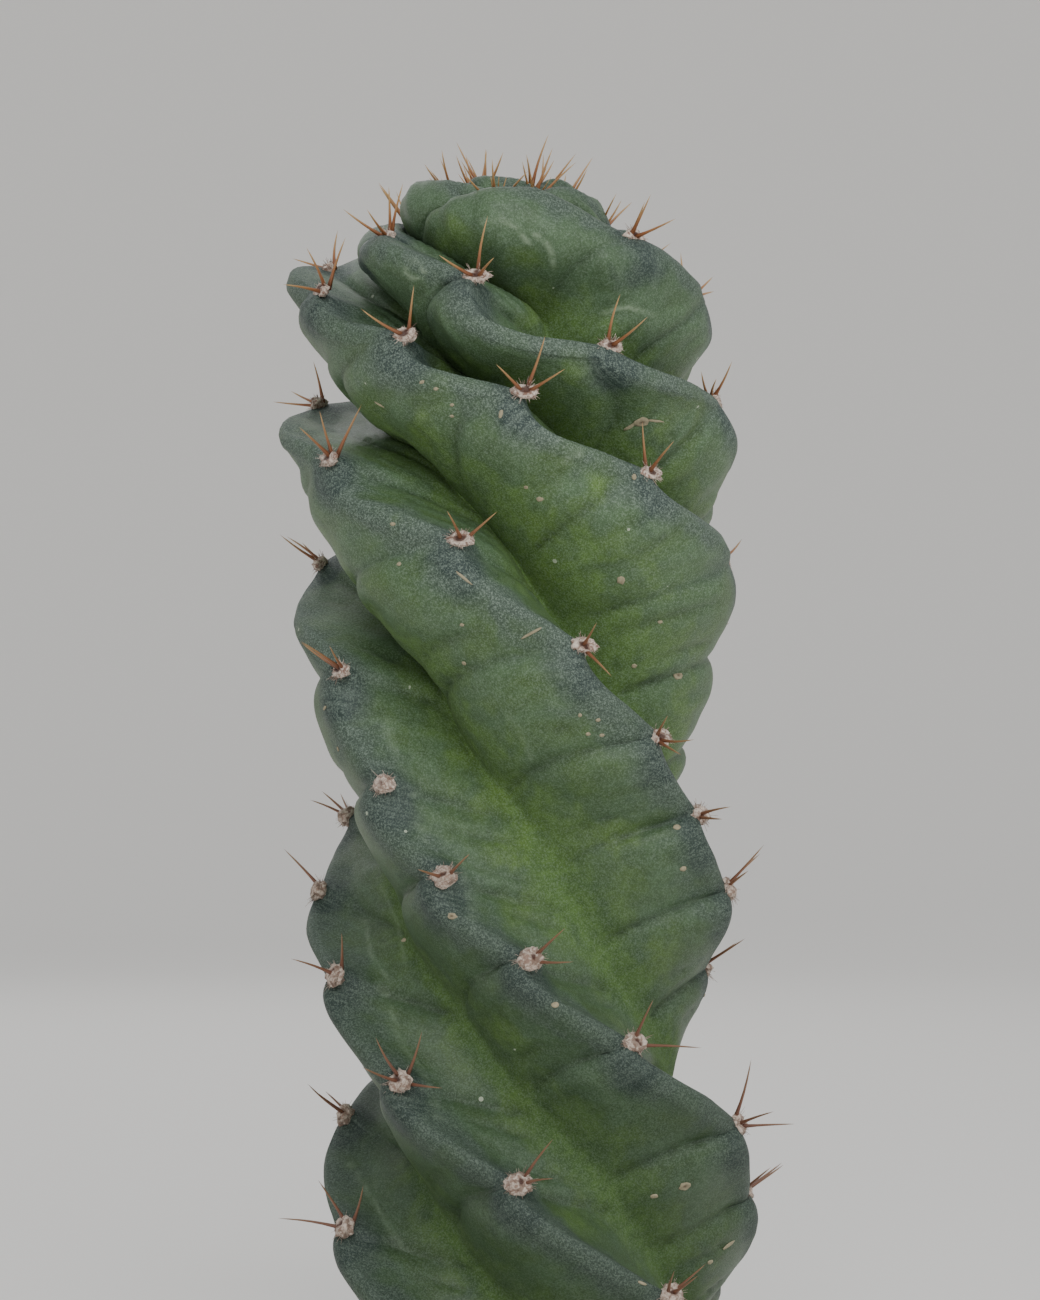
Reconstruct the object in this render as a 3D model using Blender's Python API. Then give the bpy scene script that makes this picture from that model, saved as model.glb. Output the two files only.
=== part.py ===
"""Spiral cactus: the upper length of a columnar cactus whose four ribs wind round the stem like a screw.

The stem is one living piece, cut flat across its foot so that it stands. Each rib carries a row of areoles,
the small woolly cushions that the spines grow from. Azimuths are seen from above: 0 is the front (-Y), 90
the right (+X). Lengths are in millimetres and heights are above the cut, until the points are scaled to
metres.
"""

import math
import random

import bmesh
import bpy
import numpy as np
from mathutils import Matrix, Vector

MM = 0.001

# Each rib is given by its areoles, from below the cut to the crown, as level along the crest, azimuth in
# degrees seen from above (0 is the front, 90 the right) and how far the crest stands out beyond the usual
# outline, in mm.
RIBS = (
    ((-30, 55, 0), (0, 10, 0), (24, -28, 2), (50, -66, 2), (74, -106, -1), (92, -141, 0), (114, -166, 0),
     (135, -187, 0), (154, -203, 0), (172, -218, -2), (193, -241, -0.5), (214, -270, 2), (234, -320, 0),
     (253, -357, 0), (267, -391, 0), (280, -426, 4), (291, -470, 7), (300, -520, 3), (308, -560, -3),
     (318, -612, -3), (330, -668, 0), (345, -780, 0)),
    ((-30, 135, 0), (10, 75, 0), (36, 36, 0), (64, -7, 0), (88, -39, 2), (112, -66, 1.5), (131, -104, 2),
     (149, -130, 6), (168, -152, 0), (184, -168, 0), (202, -186, 0), (218, -210, 0), (234, -243, 2),
     (253, -279, 2), (264, -330, 0), (283, -371, 0), (297, -415, -3), (304, -462, -9), (314, -520, -4),
     (325, -585, 0), (345, -700, 0)),
    ((-30, 215, 0), (8, 160, 0), (32, 127, 3), (56, 92, 0), (75, 67, 1.5), (97, 27, 0), (118, -1, 0),
     (138, -23, 0), (160, -40, 0), (187, -58, 0), (213, -115, 2), (225, -145, 0), (238, -168, 0),
     (252, -194, 0), (266, -228, 0), (280, -269, 1), (297, -310, 2), (313, -363, 2), (322, -421, -1),
     (331, -480, 0), (345, -590, 0)),
    ((-30, 300, 0), (0, 262, 0), (25, 225, 0), (50, 195, 0), (72, 165, 0), (92, 140, -13), (113, 96, -8),
     (133, 74, 0), (152, 58, -1), (171, 40, 0), (193, 17, 0), (218, -15, 0), (238, -55, 1.5),
     (253, -118, 4), (260, -150, 0), (268, -180, 0), (280, -212, 0), (290, -240, -6), (301, -280, -10),
     (316, -332, -4), (329, -390, 0), (345, -495, 0)),
)
# Places between areoles where a crest turns sharply: the rib, then level and azimuth.
BENDS = ((1, 276, -365), (1, 267.5, -351), (3, 250, -84))
# The crests' and the furrows' outlines up to the growing point, as (level, radius, height) in mm. A
# furrow lies lower than the crest of its level, because each rib leans up.
CREST = ((-30, 53, -30), (100, 53, 100), (200, 53.5, 200), (240, 54, 240), (262, 53, 262), (281, 49.5, 280),
         (290, 46, 287), (300, 40, 293.5), (310, 31.5, 299.5), (319, 23, 303.5), (327, 15.5, 305.5),
         (334, 9, 305), (340, 4, 303), (345, 0, 301.5))
FURROW = ((-30, 33, -36), (120, 33, 114), (150, 31, 144), (190, 26, 184), (240, 26, 233), (262, 25.5, 253),
          (281, 24, 270), (290, 22.5, 276.5), (300, 20, 283), (310, 16.5, 289.5), (319, 12.5, 294),
          (327, 8.5, 298), (334, 5, 300.5), (340, 2.3, 301.2), (345, 0, 301.5))
# The stem's middle line leans a little, as (height, shift to the right).
LEAN = ((0, 6), (60, 5), (150, 0.5), (230, -2.5), (320, -4.5))
# The flanks at each level: the furrow's share of the way from one crest up to the next, then how full the
# flank above a crest and the flank below a crest are (1 is straight, more is fuller), how round the crest
# is, and the share of its height that is a narrow cord along the crest.
FLANKS = (
    (-30, 0.44, 0.6, 1.45, 0.07, 0.14),
    (110, 0.44, 0.6, 1.45, 0.07, 0.14),
    (140, 0.44, 0.65, 1.25, 0.08, 0.12),
    (158, 0.42, 0.75, 1.4, 0.12, 0.1),
    (170, 0.3, 0.8, 1.9, 0.12, 0.08),
    (184, 0.2, 0.75, 2.0, 0.12, 0.06),
    (213, 0.19, 0.8, 2.4, 0.14, 0.04),
    (235, 0.3, 0.7, 2.1, 0.12, 0.04),
    (258, 0.28, 0.5, 1.7, 0.1, 0.05),
    (276, 0.3, 0.4, 1.8, 0.1, 0.05),
    (290, 0.42, 0.6, 1.7, 0.14, 0.05),
    (300, 0.42, 1.1, 2.1, 0.3, 0),
    (345, 0.4, 1.4, 2.2, 0.5, 0),
)
CORD_WIDTH = 0.13
FURROW_ROUNDING = ((-30, 0.16), (130, 0.16), (160, 0.08), (345, 0.06))
# A rib swells below each areole. The swellings hang down across the flanks like a garland. They are given
# at each level, as how far they bulge out, how far they lift the crest and how fast they fade down the
# flank. On the flank above a crest they fade faster.
HUMPS = ((-30, 2.2, 0.8, 0.8), (230, 2.4, 0.8, 0.8), (270, 3.0, 1.2, 0.6), (290, 3.7, 3.0, 0.4),
         (310, 3.5, 5.0, 0.35), (330, 1.5, 2, 0.4), (345, 0, 0, 0.4))
CREST_NOTCH = 0.45
FADE_ABOVE = 0.9
# A swelling is greatest nearer to its areole than half way down to the next one, and narrower than a sine.
HUMP_SKEW = 0.62
HUMP_NARROWNESS = 1.6
# Below each areole a crest drops steeply and then runs on flatter to the next one: how far it lags behind
# an even course, by level, in degrees. The skew brings the most of it nearer to the areole, and the fade
# takes it off down the flanks.
CREST_LAG = ((-30, 7.5), (130, 7.5), (180, 6), (262, 5.5), (290, 4), (310, 0), (345, 0))
LAG_SKEW = 0.7
LAG_FADE = 1.5
# How far the crest dips below each areole, by level, in mm. It dips less where the levels of two areoles
# are closer than DIP_SPACING.
CREST_DIP = ((-30, 0), (150, 0.5), (200, 2.5), (250, 4), (272, 4), (282, 1.5), (298, 1), (312, 0), (345, 0))
DIP_SPACING = 14
DIP_FADE = 2
# Not every rib swells alike: its share of those swellings, as (level, share), for each rib.
RIB_SWELLING = (((-30, 1), (240, 1), (258, 0.4), (274, 0.5), (286, 1.2), (310, 1), (345, 1)),
                ((-30, 1), (284, 1), (297, 0.5), (306, 0.4), (320, 1), (345, 1)),
                ((-30, 1), (262, 1), (280, 0.35), (298, 0.5), (312, 1), (345, 1)),
                ((-30, 1), (225, 1), (238, 0.35), (262, 0.5), (290, 1), (345, 1)))
# The flesh that fills out the crests, by level, and its share in the furrows.
FLESH = ((-30, 2), (150, 2), (215, 2.4), (260, 2.4), (285, 1.8), (305, 1.6), (325, 0.5), (338, 0.2), (345, 0))
FURROW_FLESH = 0.25
# How far apart the points are that give the skin's direction: in levels, and as a share of a rib.
NORMAL_STEP = 1.2
AROUND_STEP = 0.04
# How far the swellings hang down across the flank above a crest, and by level below it. They hang along a
# curve, which this power bends.
SAG_ABOVE = 12
SAG_BELOW = ((-30, 7), (185, 8), (215, 14), (245, 20), (275, 16), (300, 7), (345, 5))
SAG_BEND = 1.5

FACES_PER_RIB = 12
# How far the columns of faces gather towards the crests, from 0, even, to 1.
GATHER = 0.5
# Rows of points: from, to and spacing in levels. They are closer where the twist is tighter.
LEVEL_ROWS = ((-16, 192, 8), (192, 240, 6), (240, 288, 4), (288, 333, 4.5), (333, 345.1, 4))

LOWEST_AREOLE = 7
AREOLE_RADIUS = 3.0
AREOLE_TOP = 0.6
AREOLE_RISE = 1.4
AREOLE_ROOT = 1.8
AREOLE_SIDES = 6
# An areole faces outward and a little up, and more and more up over the crown.
AREOLE_LIFT = 0.35
CROWN_LIFT = 1.6
CROWN_RADIUS = 45
YOUNG_LEVEL = 310
YOUNG_SIZE = 0.75

SPINE_RADIUS = 0.72
SPINE_LENGTH = 12.5
SPINE_ROOT = 1.3
SPINE_SIDES = 3
SEED = 4
# Where the photo shows no spines, each areole has three: their lean to the side, how far that varies, the
# range of their length as a share of the usual one, and the range of their rise.
USUAL_LEANS = (-0.8, 0.1, 0.9)
LEAN_CHANGE = 0.2
LENGTH_RANGE = (0.7, 1.1)
RISE_RANGE = (0.2, 0.8)
# The spines on the front, for each rib and areole: how far the tip reaches to the right and up, in mm.
SPINES = {
    (0, 3): ((-15, 2.2), (-5.2, 11.7), (6, 10.5)),
    (0, 11): ((3.5, 5),),
    (0, 12): ((-3, 12), (4.5, 7)),
    (0, 13): ((4.8, 12.8), (-7, 5.5), (9.5, 4.5)),
    (0, 14): ((3, 11.2), (-9.8, 5.5)),
    (0, 15): ((-7.8, 0.3), (-2.2, 9.5), (7.2, 12.5)),
    (0, 16): ((3.2, 10.2), (-8.5, 3.2), (-8.2, 0.3)),
    (1, 3): ((8.5, 10.8), (8.5, 2)),
    (1, 4): ((-5, 10.8), (-8, 3.8), (6.2, 12), (11.2, -1.5)),
    (1, 5): ((-9.5, 4.2), (3, 10.5)),
    (1, 6): ((-8, 10.2),),
    (1, 13): ((-1.8, 4.2), (2.2, 8.8), (-5.5, 6.2)),
    (1, 14): ((1.8, 12.2), (8.2, 6.2)),
    (1, 15): ((3.2, 13.8), (-8.5, 3.8), (4.8, 3)),
    (1, 16): ((-9.2, 6), (-3.2, 5.5), (5.5, 12.8), (2, 11.8)),
    (2, 4): ((2, 16), (7.2, 3.8), (12.8, 0)),
    (2, 5): ((3.8, 10.8), (15.5, -1.2)),
    (2, 6): ((8.5, 7.5), (10.5, -0.5)),
    (2, 7): ((-5.5, 1.8), (7, 5.5)),
    (2, 8): (),
    (2, 15): ((3.5, 5.5), (3.8, 1.8), (-5, 11)),
    (2, 16): ((3, 9), (1.5, 7), (9, 3)),
    (2, 17): ((-1.2, 9), (-8, 5.5), (7.5, 6)),
    (2, 18): ((-5.8, 5.8), (-1.5, 9.5)),
    (3, 8): ((6, 1.8), (4, -1.2)),
    (3, 9): ((0.8, 5), (7.2, -0.8), (4, -4.5)),
    (3, 10): ((2.5, 5), (6.2, -8)),
    (3, 11): ((-2.8, 6.2), (9.2, 6.2)),
    (3, 12): ((-5.8, 6.8), (-1, 11), (9.2, 12.8)),
    (3, 13): ((-0.5, 11), (-6.5, 3.5), (-11, 0.5)),
}


def smooth_curve(points, at):
    """A curve through the points that never overshoots them, read at the given places."""
    x, y = np.array(points, float).T
    step = np.diff(x)
    slope = np.diff(y) / step
    steep = np.zeros_like(x)
    steep[0], steep[-1] = slope[0], slope[-1]
    for i in range(1, len(slope)):
        if slope[i - 1] * slope[i] > 0:
            before, after = 2 * step[i] + step[i - 1], step[i] + 2 * step[i - 1]
            steep[i] = (before + after) / (before / slope[i - 1] + after / slope[i])
    at = np.clip(at, x[0], x[-1])
    i = np.clip(np.searchsorted(x, at) - 1, 0, len(step) - 1)
    s = (at - x[i]) / step[i]
    return ((1 + 2 * s) * (1 - s) ** 2 * y[i] + s * (1 - s) ** 2 * step[i] * steep[i]
            + s * s * (3 - 2 * s) * y[i + 1] + s * s * (s - 1) * step[i] * steep[i + 1])


def column(table, number):
    """The pairs of a table's first column and the one with the given number."""
    return [(row[0], row[number]) for row in table]


def areole_count(rib, level):
    """How many areoles of a rib lie below this level, counting on smoothly between them."""
    return smooth_curve([(point[0], number) for number, point in enumerate(rib)], level)


def hump(rib, level):
    """How far the rib swells at this level: sharply just below each areole, fading to the next one down."""
    below_areole = (-areole_count(rib, level)) % 1.0
    return np.clip(np.sin(math.pi * below_areole ** HUMP_SKEW), 0, 1) ** HUMP_NARROWNESS


def dip(rib, level):
    """How far the crest dips below each areole, as a share of the most it does."""
    spacing = 2 / np.maximum(areole_count(rib, level + 1) - areole_count(rib, level - 1), 0.02)
    return hump(rib, level) * np.minimum(spacing / DIP_SPACING, 1)


def lag(rib, level):
    """How far the crest lags behind its even course, as a share of the most it does."""
    below_areole = (-areole_count(rib, level)) % 1.0
    return np.clip(np.sin(math.pi * below_areole ** LAG_SKEW), 0, 1)


def soften(value, rounding):
    """A straight line from 0 to 1 that starts level."""
    return (np.hypot(value, rounding) - rounding) / (np.hypot(1, rounding) - rounding)


def across_flank(across, level):
    """Which rib a place is on, whether it is above its crest, and its share of the way to the furrow."""
    share = across % 1.0
    furrow_share = smooth_curve(column(FLANKS, 1), level)
    above = share < furrow_share
    off_crest = np.where(above, share / furrow_share, (1 - share) / (1 - furrow_share))
    rib = (np.floor(across).astype(int) + np.where(above, 0, 1)) % len(RIBS)
    return rib, above, off_crest


def sagged_level(level, above, off_crest):
    """The level at which an areole's line, which hangs down across the flank, leaves the crest."""
    return level + np.where(above, SAG_ABOVE, smooth_curve(SAG_BELOW, level)) * off_crest ** SAG_BEND


def rib_points(across, level):
    """Points of the ribs before they fill out. Across counts ribs, its fraction the way to the next one."""
    across, level = np.broadcast_arrays(np.asarray(across, float), np.asarray(level, float))
    share = across % 1.0
    courses = []
    for number, course in enumerate(RIBS):
        bends = [(bend[1], bend[2]) for bend in BENDS if bend[0] == number]
        courses.append(smooth_curve(sorted(column(course, 1) + bends), level))
    courses.append(courses[0] + 360)
    first = np.floor(across).astype(int) % len(RIBS)
    azimuth = np.choose(first, courses[:-1]) * (1 - share) + np.choose(first, courses[1:]) * share

    rib, above, off_crest = across_flank(across, level)
    lagging = np.choose(rib, [lag(course, level) for course in RIBS]) * smooth_curve(CREST_LAG, level)
    azimuth = azimuth - lagging * (1 - off_crest) ** LAG_FADE
    fullness = np.where(above, smooth_curve(column(FLANKS, 2), level),
                        smooth_curve(column(FLANKS, 3), level))
    swell = 1 - soften(off_crest, smooth_curve(column(FLANKS, 4), level)) ** fullness
    cord = smooth_curve(column(FLANKS, 5), level)
    swell = swell * (1 - cord) + np.exp(-(off_crest / CORD_WIDTH) ** 2) * cord
    swell = soften(np.clip(swell, 0, 1), smooth_curve(FURROW_ROUNDING, level))

    reach = np.choose(rib, [smooth_curve(column(course, 2), level) for course in RIBS])
    radius = smooth_curve(column(FURROW, 1), level)
    radius = radius + (smooth_curve(column(CREST, 1), level) + reach - radius) * swell
    height = smooth_curve(column(FURROW, 2), level)
    height = height + (smooth_curve(column(CREST, 2), level) - height) * swell

    sagged = sagged_level(level, above, off_crest)
    swelling = np.choose(rib, [(hump(course, sagged) - CREST_NOTCH) * smooth_curve(share_of_rib, level)
                               for course, share_of_rib in zip(RIBS, RIB_SWELLING)])
    swelling = swelling * (1 - off_crest) ** (smooth_curve(column(HUMPS, 3), level) + FADE_ABOVE * above)
    radius = radius + swelling * smooth_curve(column(HUMPS, 1), level)
    height = height + swelling * smooth_curve(column(HUMPS, 2), level)

    dipping = np.choose(rib, [dip(course, level) for course in RIBS]) * smooth_curve(CREST_DIP, level)
    height = height - dipping * (1 - off_crest) ** DIP_FADE

    radius = np.maximum(radius - swell * smooth_curve(FLESH, level), 0)
    turn = np.radians(azimuth)
    x = radius * np.sin(turn) + smooth_curve(LEAN, height)
    return np.stack([x, -radius * np.cos(turn), height], axis=-1), swell


def stem_points(across, level):
    """Points of the skin: the ribs filled out with flesh along their normals, which rounds the crests."""
    points, swell = rib_points(across, level)
    along = rib_points(across, level + NORMAL_STEP)[0] - rib_points(across, level - NORMAL_STEP)[0]
    around = rib_points(across + AROUND_STEP, level)[0] - rib_points(across - AROUND_STEP, level)[0]
    normal = np.cross(around, along)
    normal = normal / np.maximum(np.linalg.norm(normal, axis=-1, keepdims=True), 1e-9)
    flesh = smooth_curve(FLESH, level) * (FURROW_FLESH + (1 - FURROW_FLESH) * swell)
    return points + normal * flesh[..., None]


def stem_mesh(name, faces_per_rib, levels):
    """The skin as a grid that follows the ribs, closed over the growing point and cut flat at height 0."""
    columns = faces_per_rib * len(RIBS)
    across = np.arange(columns) / faces_per_rib
    across = across - GATHER * np.sin(2 * math.pi * across) / (2 * math.pi)
    grid = stem_points(across[None, :], np.array(levels)[:, None]) * MM
    mesh = bmesh.new()
    rows = [[mesh.verts.new(point) for point in row] for row in grid[:-1]]
    tip = mesh.verts.new(grid[-1, 0])
    for lower, upper in zip(rows, rows[1:]):
        for i in range(columns):
            j = (i + 1) % columns
            mesh.faces.new((lower[i], lower[j], upper[j], upper[i]))
    for i in range(columns):
        mesh.faces.new((rows[-1][i], rows[-1][(i + 1) % columns], tip))
    everything = mesh.verts[:] + mesh.edges[:] + mesh.faces[:]
    cut = bmesh.ops.bisect_plane(mesh, geom=everything, plane_co=(0, 0, 0), plane_no=(0, 0, -1),
                                 clear_outer=True)
    rim = [edge for edge in cut["geom_cut"] if isinstance(edge, bmesh.types.BMEdge)]
    bmesh.ops.contextual_create(mesh, geom=rim)
    bmesh.ops.recalc_face_normals(mesh, faces=mesh.faces[:])
    data = bpy.data.meshes.new(name)
    mesh.to_mesh(data)
    mesh.free()
    return data


def facing(rib, number):
    """An areole's place on the crest and the way it faces."""
    level, azimuth = RIBS[rib][number][:2]
    place = Vector(stem_points(rib, level).tolist())
    radius = float(smooth_curve(column(CREST, 1), level))
    lift = AREOLE_LIFT + CROWN_LIFT * max(0.0, 1 - radius / CROWN_RADIUS)
    turn = math.radians(azimuth)
    return place, Vector((math.sin(turn), -math.cos(turn), lift)).normalized()


def add_cone(name, start, end, start_radius, end_radius, sides, collection):
    """A cone or a cut cone from one point to another."""
    along = end - start
    mesh = bmesh.new()
    turned = Matrix.Translation((start + end) / 2 * MM) @ along.to_track_quat("Z", "Y").to_matrix().to_4x4()
    bmesh.ops.create_cone(mesh, cap_ends=True, segments=sides, radius1=start_radius * MM,
                          radius2=end_radius * MM, depth=along.length * MM, matrix=turned)
    data = bpy.data.meshes.new(name)
    mesh.to_mesh(data)
    mesh.free()
    collection.objects.link(bpy.data.objects.new(name, data))


def spine_reaches(rib, number, outward, chance):
    """How the spines of one areole reach out from it."""
    if (rib, number) in SPINES:
        reaches = []
        for right, up in SPINES[rib, number]:
            depth = math.sqrt(max(SPINE_LENGTH ** 2 - right ** 2 - up ** 2, 4.0))
            reaches.append(Vector((right, math.copysign(depth, outward.y), up)))
        return reaches
    side = Vector((-outward.y, outward.x, 0)).normalized()
    upward = outward.cross(side).normalized()
    if upward.z < 0:
        upward = -upward
    reaches = []
    for lean in USUAL_LEANS:
        length = SPINE_LENGTH * chance.uniform(*LENGTH_RANGE)
        lean = lean + chance.uniform(-LEAN_CHANGE, LEAN_CHANGE)
        way = outward + side * lean + upward * chance.uniform(*RISE_RANGE)
        reaches.append(way.normalized() * length)
    return reaches


def add_growths(collection):
    """The areole cushions and the spines, with their roots sunk into the ribs."""
    chance = random.Random(SEED)
    for rib, course in enumerate(RIBS):
        for number, areole in enumerate(course[:-1]):
            if areole[0] < LOWEST_AREOLE:
                continue
            place, outward = facing(rib, number)
            size = AREOLE_RADIUS * (1 if areole[0] < YOUNG_LEVEL else YOUNG_SIZE)
            add_cone(f"areole_{rib}_{number}", place - outward * AREOLE_ROOT, place + outward * AREOLE_RISE,
                     size, size * AREOLE_TOP, AREOLE_SIDES, collection)
            for spine, tip in enumerate(spine_reaches(rib, number, outward, chance)):
                add_cone(f"spine_{rib}_{number}_{spine}", place - outward * SPINE_ROOT,
                         place + outward * AREOLE_RISE + tip, SPINE_RADIUS, 0, SPINE_SIDES, collection)


def main():
    for old in list(bpy.data.objects):
        bpy.data.objects.remove(old)
    levels = np.concatenate([np.arange(start, end, step) for start, end, step in LEVEL_ROWS])
    stem = bpy.data.objects.new("cactus_stem", stem_mesh("cactus_stem", FACES_PER_RIB, levels))
    bpy.context.scene.collection.objects.link(stem)

    growths = bpy.data.collections.new("growths")
    bpy.context.scene.collection.children.link(growths)
    add_growths(growths)
    joined = stem.modifiers.new("growths", "BOOLEAN")
    joined.operation = "UNION"
    joined.operand_type = "COLLECTION"
    joined.collection = growths
    joined.solver = "MANIFOLD"
    merged = bpy.data.meshes.new_from_object(stem.evaluated_get(bpy.context.evaluated_depsgraph_get()))
    stem.modifiers.clear()
    stem.data = merged
    for growth in list(growths.objects):
        bpy.data.objects.remove(growth)
    bpy.data.collections.remove(growths)

    skin = bpy.data.materials.new("cactus_skin")
    skin.use_nodes = True
    surface = skin.node_tree.nodes["Principled BSDF"]
    surface.inputs["Base Color"].default_value = (0.115, 0.19, 0.085, 1)
    surface.inputs["Roughness"].default_value = 0.55
    stem.data.materials.clear()
    stem.data.materials.append(skin)
    print("triangles", sum(len(face.vertices) - 2 for face in stem.data.polygons))


if __name__ == "__main__":
    main()
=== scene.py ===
import math
import random

import bmesh
import bpy
import numpy as np
from mathutils import Matrix, Vector, noise
from mathutils.bvhtree import BVHTree


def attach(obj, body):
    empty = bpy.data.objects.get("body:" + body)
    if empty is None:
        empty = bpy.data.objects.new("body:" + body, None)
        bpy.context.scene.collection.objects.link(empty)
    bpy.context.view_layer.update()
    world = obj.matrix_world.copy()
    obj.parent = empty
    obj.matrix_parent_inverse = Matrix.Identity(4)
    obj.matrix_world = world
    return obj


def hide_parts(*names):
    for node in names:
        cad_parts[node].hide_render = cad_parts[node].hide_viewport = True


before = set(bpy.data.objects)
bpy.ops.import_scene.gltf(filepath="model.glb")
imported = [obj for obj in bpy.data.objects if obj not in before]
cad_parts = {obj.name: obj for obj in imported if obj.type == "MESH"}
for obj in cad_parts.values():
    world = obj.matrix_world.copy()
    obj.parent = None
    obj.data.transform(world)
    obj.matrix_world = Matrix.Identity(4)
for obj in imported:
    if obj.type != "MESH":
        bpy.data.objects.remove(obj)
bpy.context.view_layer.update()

scene = bpy.context.scene

# Camera. The photograph looks level at the stem, from far enough that the ribs keep their true
# proportions. Its frame is 260 mm wide and 325 mm tall at the stem's axis, and its lower edge is 30 mm
# above the cut foot.
MM = 0.001
CAMERA_DISTANCE = 1.2
CAMERA_HEIGHT = 0.1925
FRAME_HEIGHT = 0.325
SENSOR_WIDTH = 36

lens = bpy.data.cameras.new("camera")
lens.sensor_fit = "AUTO"
lens.sensor_width = SENSOR_WIDTH
lens.lens = SENSOR_WIDTH * CAMERA_DISTANCE / FRAME_HEIGHT
camera = bpy.data.objects.new("camera", lens)
camera.location = (0, -CAMERA_DISTANCE, CAMERA_HEIGHT)
camera.rotation_euler = (math.pi / 2, 0, 0)
scene.collection.objects.link(camera)
scene.camera = camera

# Skin. The living green stem: four thick ribs that wind round it like a screw, swollen below each areole
# and pulled in at it, with soft folds hanging across their flanks. It grew as one piece and was cut flat
# across its foot.

# Each rib is given by its areoles, from below the cut to the growing point, as level along the crest, azimuth
# in degrees seen from above (0 is the front, 90 the right) and how far the crest stands out beyond the usual
# outline, in mm. The level is the length up the stem in mm, which runs on over the crown to TOP_LEVEL.
TOP_LEVEL = 345
RIBS = (
    ((-30, 55, 0), (0, 10, 0), (24, -28, 2), (50, -66, 2), (74, -106, -1), (92, -141, 0), (114, -166, 0),
     (135, -187, 0), (154, -203, 0), (172, -218, -2), (193, -241, -0.5), (214, -270, 2), (234, -320, 0),
     (253, -357, 0), (267, -391, 0), (280, -426, 4), (291, -470, 7), (300, -520, 3), (308, -560, -3),
     (318, -612, -3), (330, -668, 0), (345, -780, 0)),
    ((-30, 135, 0), (10, 75, 0), (36, 36, 0), (64, -7, 0), (88, -39, 2), (112, -66, 1.5), (131, -104, 2),
     (149, -130, 6), (168, -152, 0), (184, -168, 0), (202, -186, 0), (218, -210, 0), (234, -243, 2),
     (253, -279, 2), (264, -330, 0), (283, -371, 0), (297, -415, -3), (304, -462, -9), (314, -520, -4),
     (325, -585, 0), (345, -700, 0)),
    ((-30, 215, 0), (8, 160, 0), (32, 127, 3), (56, 92, 0), (75, 67, 1.5), (97, 27, 0), (118, -1, 0),
     (138, -23, 0), (160, -40, 0), (187, -58, 0), (213, -115, 2), (225, -145, 0), (238, -168, 0),
     (252, -194, 0), (266, -228, 0), (280, -269, 1), (297, -310, 2), (313, -363, 2), (322, -421, -1),
     (331, -480, 0), (345, -590, 0)),
    ((-30, 300, 0), (0, 262, 0), (25, 225, 0), (50, 195, 0), (72, 165, 0), (92, 140, -13), (113, 96, -8),
     (133, 74, 0), (152, 58, -1), (171, 40, 0), (193, 17, 0), (218, -15, 0), (238, -55, 1.5), (253, -118, 4),
     (260, -150, 0), (268, -180, 0), (280, -212, 0), (290, -240, -6), (301, -280, -10), (316, -332, -4),
     (329, -390, 0), (345, -495, 0)),
)
# Places between areoles where a crest turns sharply: the rib, then level and azimuth.
BENDS = ((1, 276, -365), (1, 267.5, -351), (3, 250, -84))
# The crests' and the furrows' outlines up to the growing point, as (level, radius, height) in mm. A
# furrow lies lower than the crest of its level, because each rib leans up.
CREST = ((-30, 53, -30), (100, 53, 100), (200, 53.5, 200), (240, 54, 240), (262, 53, 262), (281, 49.5, 280),
         (290, 46, 287), (300, 40, 293.5), (310, 31.5, 299.5), (319, 23, 303.5), (327, 15.5, 305.5),
         (334, 9, 305), (340, 4, 303), (345, 0, 301.5))
FURROW = ((-30, 33, -36), (120, 33, 114), (150, 31, 144), (190, 26, 184), (240, 26, 233), (262, 25.5, 253),
          (281, 24, 270), (290, 22.5, 276.5), (300, 20, 283), (310, 16.5, 289.5), (319, 12.5, 294),
          (327, 8.5, 298), (334, 5, 300.5), (340, 2.3, 301.2), (345, 0, 301.5))
# The stem's middle line leans a little, as (height, shift to the right).
LEAN = ((0, 6), (60, 5), (150, 0.5), (230, -2.5), (320, -4.5))
# The flanks at each level: the furrow's share of the way from one crest up to the next, then how full the
# flank above a crest and the flank below a crest are (1 is straight, more is fuller), how round the crest
# is, and the share of its height that is a narrow cord along the crest.
FLANKS = (
    (-30, 0.44, 0.6, 1.45, 0.07, 0.14),
    (110, 0.44, 0.6, 1.45, 0.07, 0.14),
    (140, 0.44, 0.65, 1.25, 0.08, 0.12),
    (158, 0.42, 0.75, 1.4, 0.12, 0.1),
    (170, 0.3, 0.8, 1.9, 0.12, 0.08),
    (184, 0.2, 0.75, 2.0, 0.12, 0.06),
    (213, 0.19, 0.8, 2.4, 0.14, 0.04),
    (235, 0.3, 0.7, 2.1, 0.12, 0.04),
    (258, 0.28, 0.5, 1.7, 0.1, 0.05),
    (276, 0.3, 0.4, 1.8, 0.1, 0.05),
    (290, 0.42, 0.6, 1.7, 0.14, 0.05),
    (300, 0.42, 1.1, 2.1, 0.3, 0),
    (345, 0.4, 1.4, 2.2, 0.5, 0),
)
CORD_WIDTH = 0.13
FURROW_ROUNDING = ((-30, 0.28), (150, 0.28), (190, 0.14), (240, 0.08), (345, 0.06))
# A rib swells below each areole. The swellings hang down across the flanks like a garland. They are given
# at each level, as how far they bulge out, how far they lift the crest and how fast they fade down the
# flank. On the flank above a crest they fade faster, by FADE_ABOVE. At an areole the crest is pulled in by
# the share CREST_NOTCH.
HUMPS = ((-30, 2.2, 0.8, 0.8), (230, 2.4, 0.8, 0.8), (270, 3.0, 1.2, 0.6), (290, 3.7, 3.0, 0.4),
         (310, 3.5, 5.0, 0.35), (330, 1.5, 2, 0.4), (345, 0, 0, 0.4))
CREST_NOTCH = 0.45
FADE_ABOVE = 0.9
# A swelling is highest a third of the way to the next areole down, and narrower than half a wave.
HUMP_SKEW = 0.62
HUMP_NARROWNESS = 1.6
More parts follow.
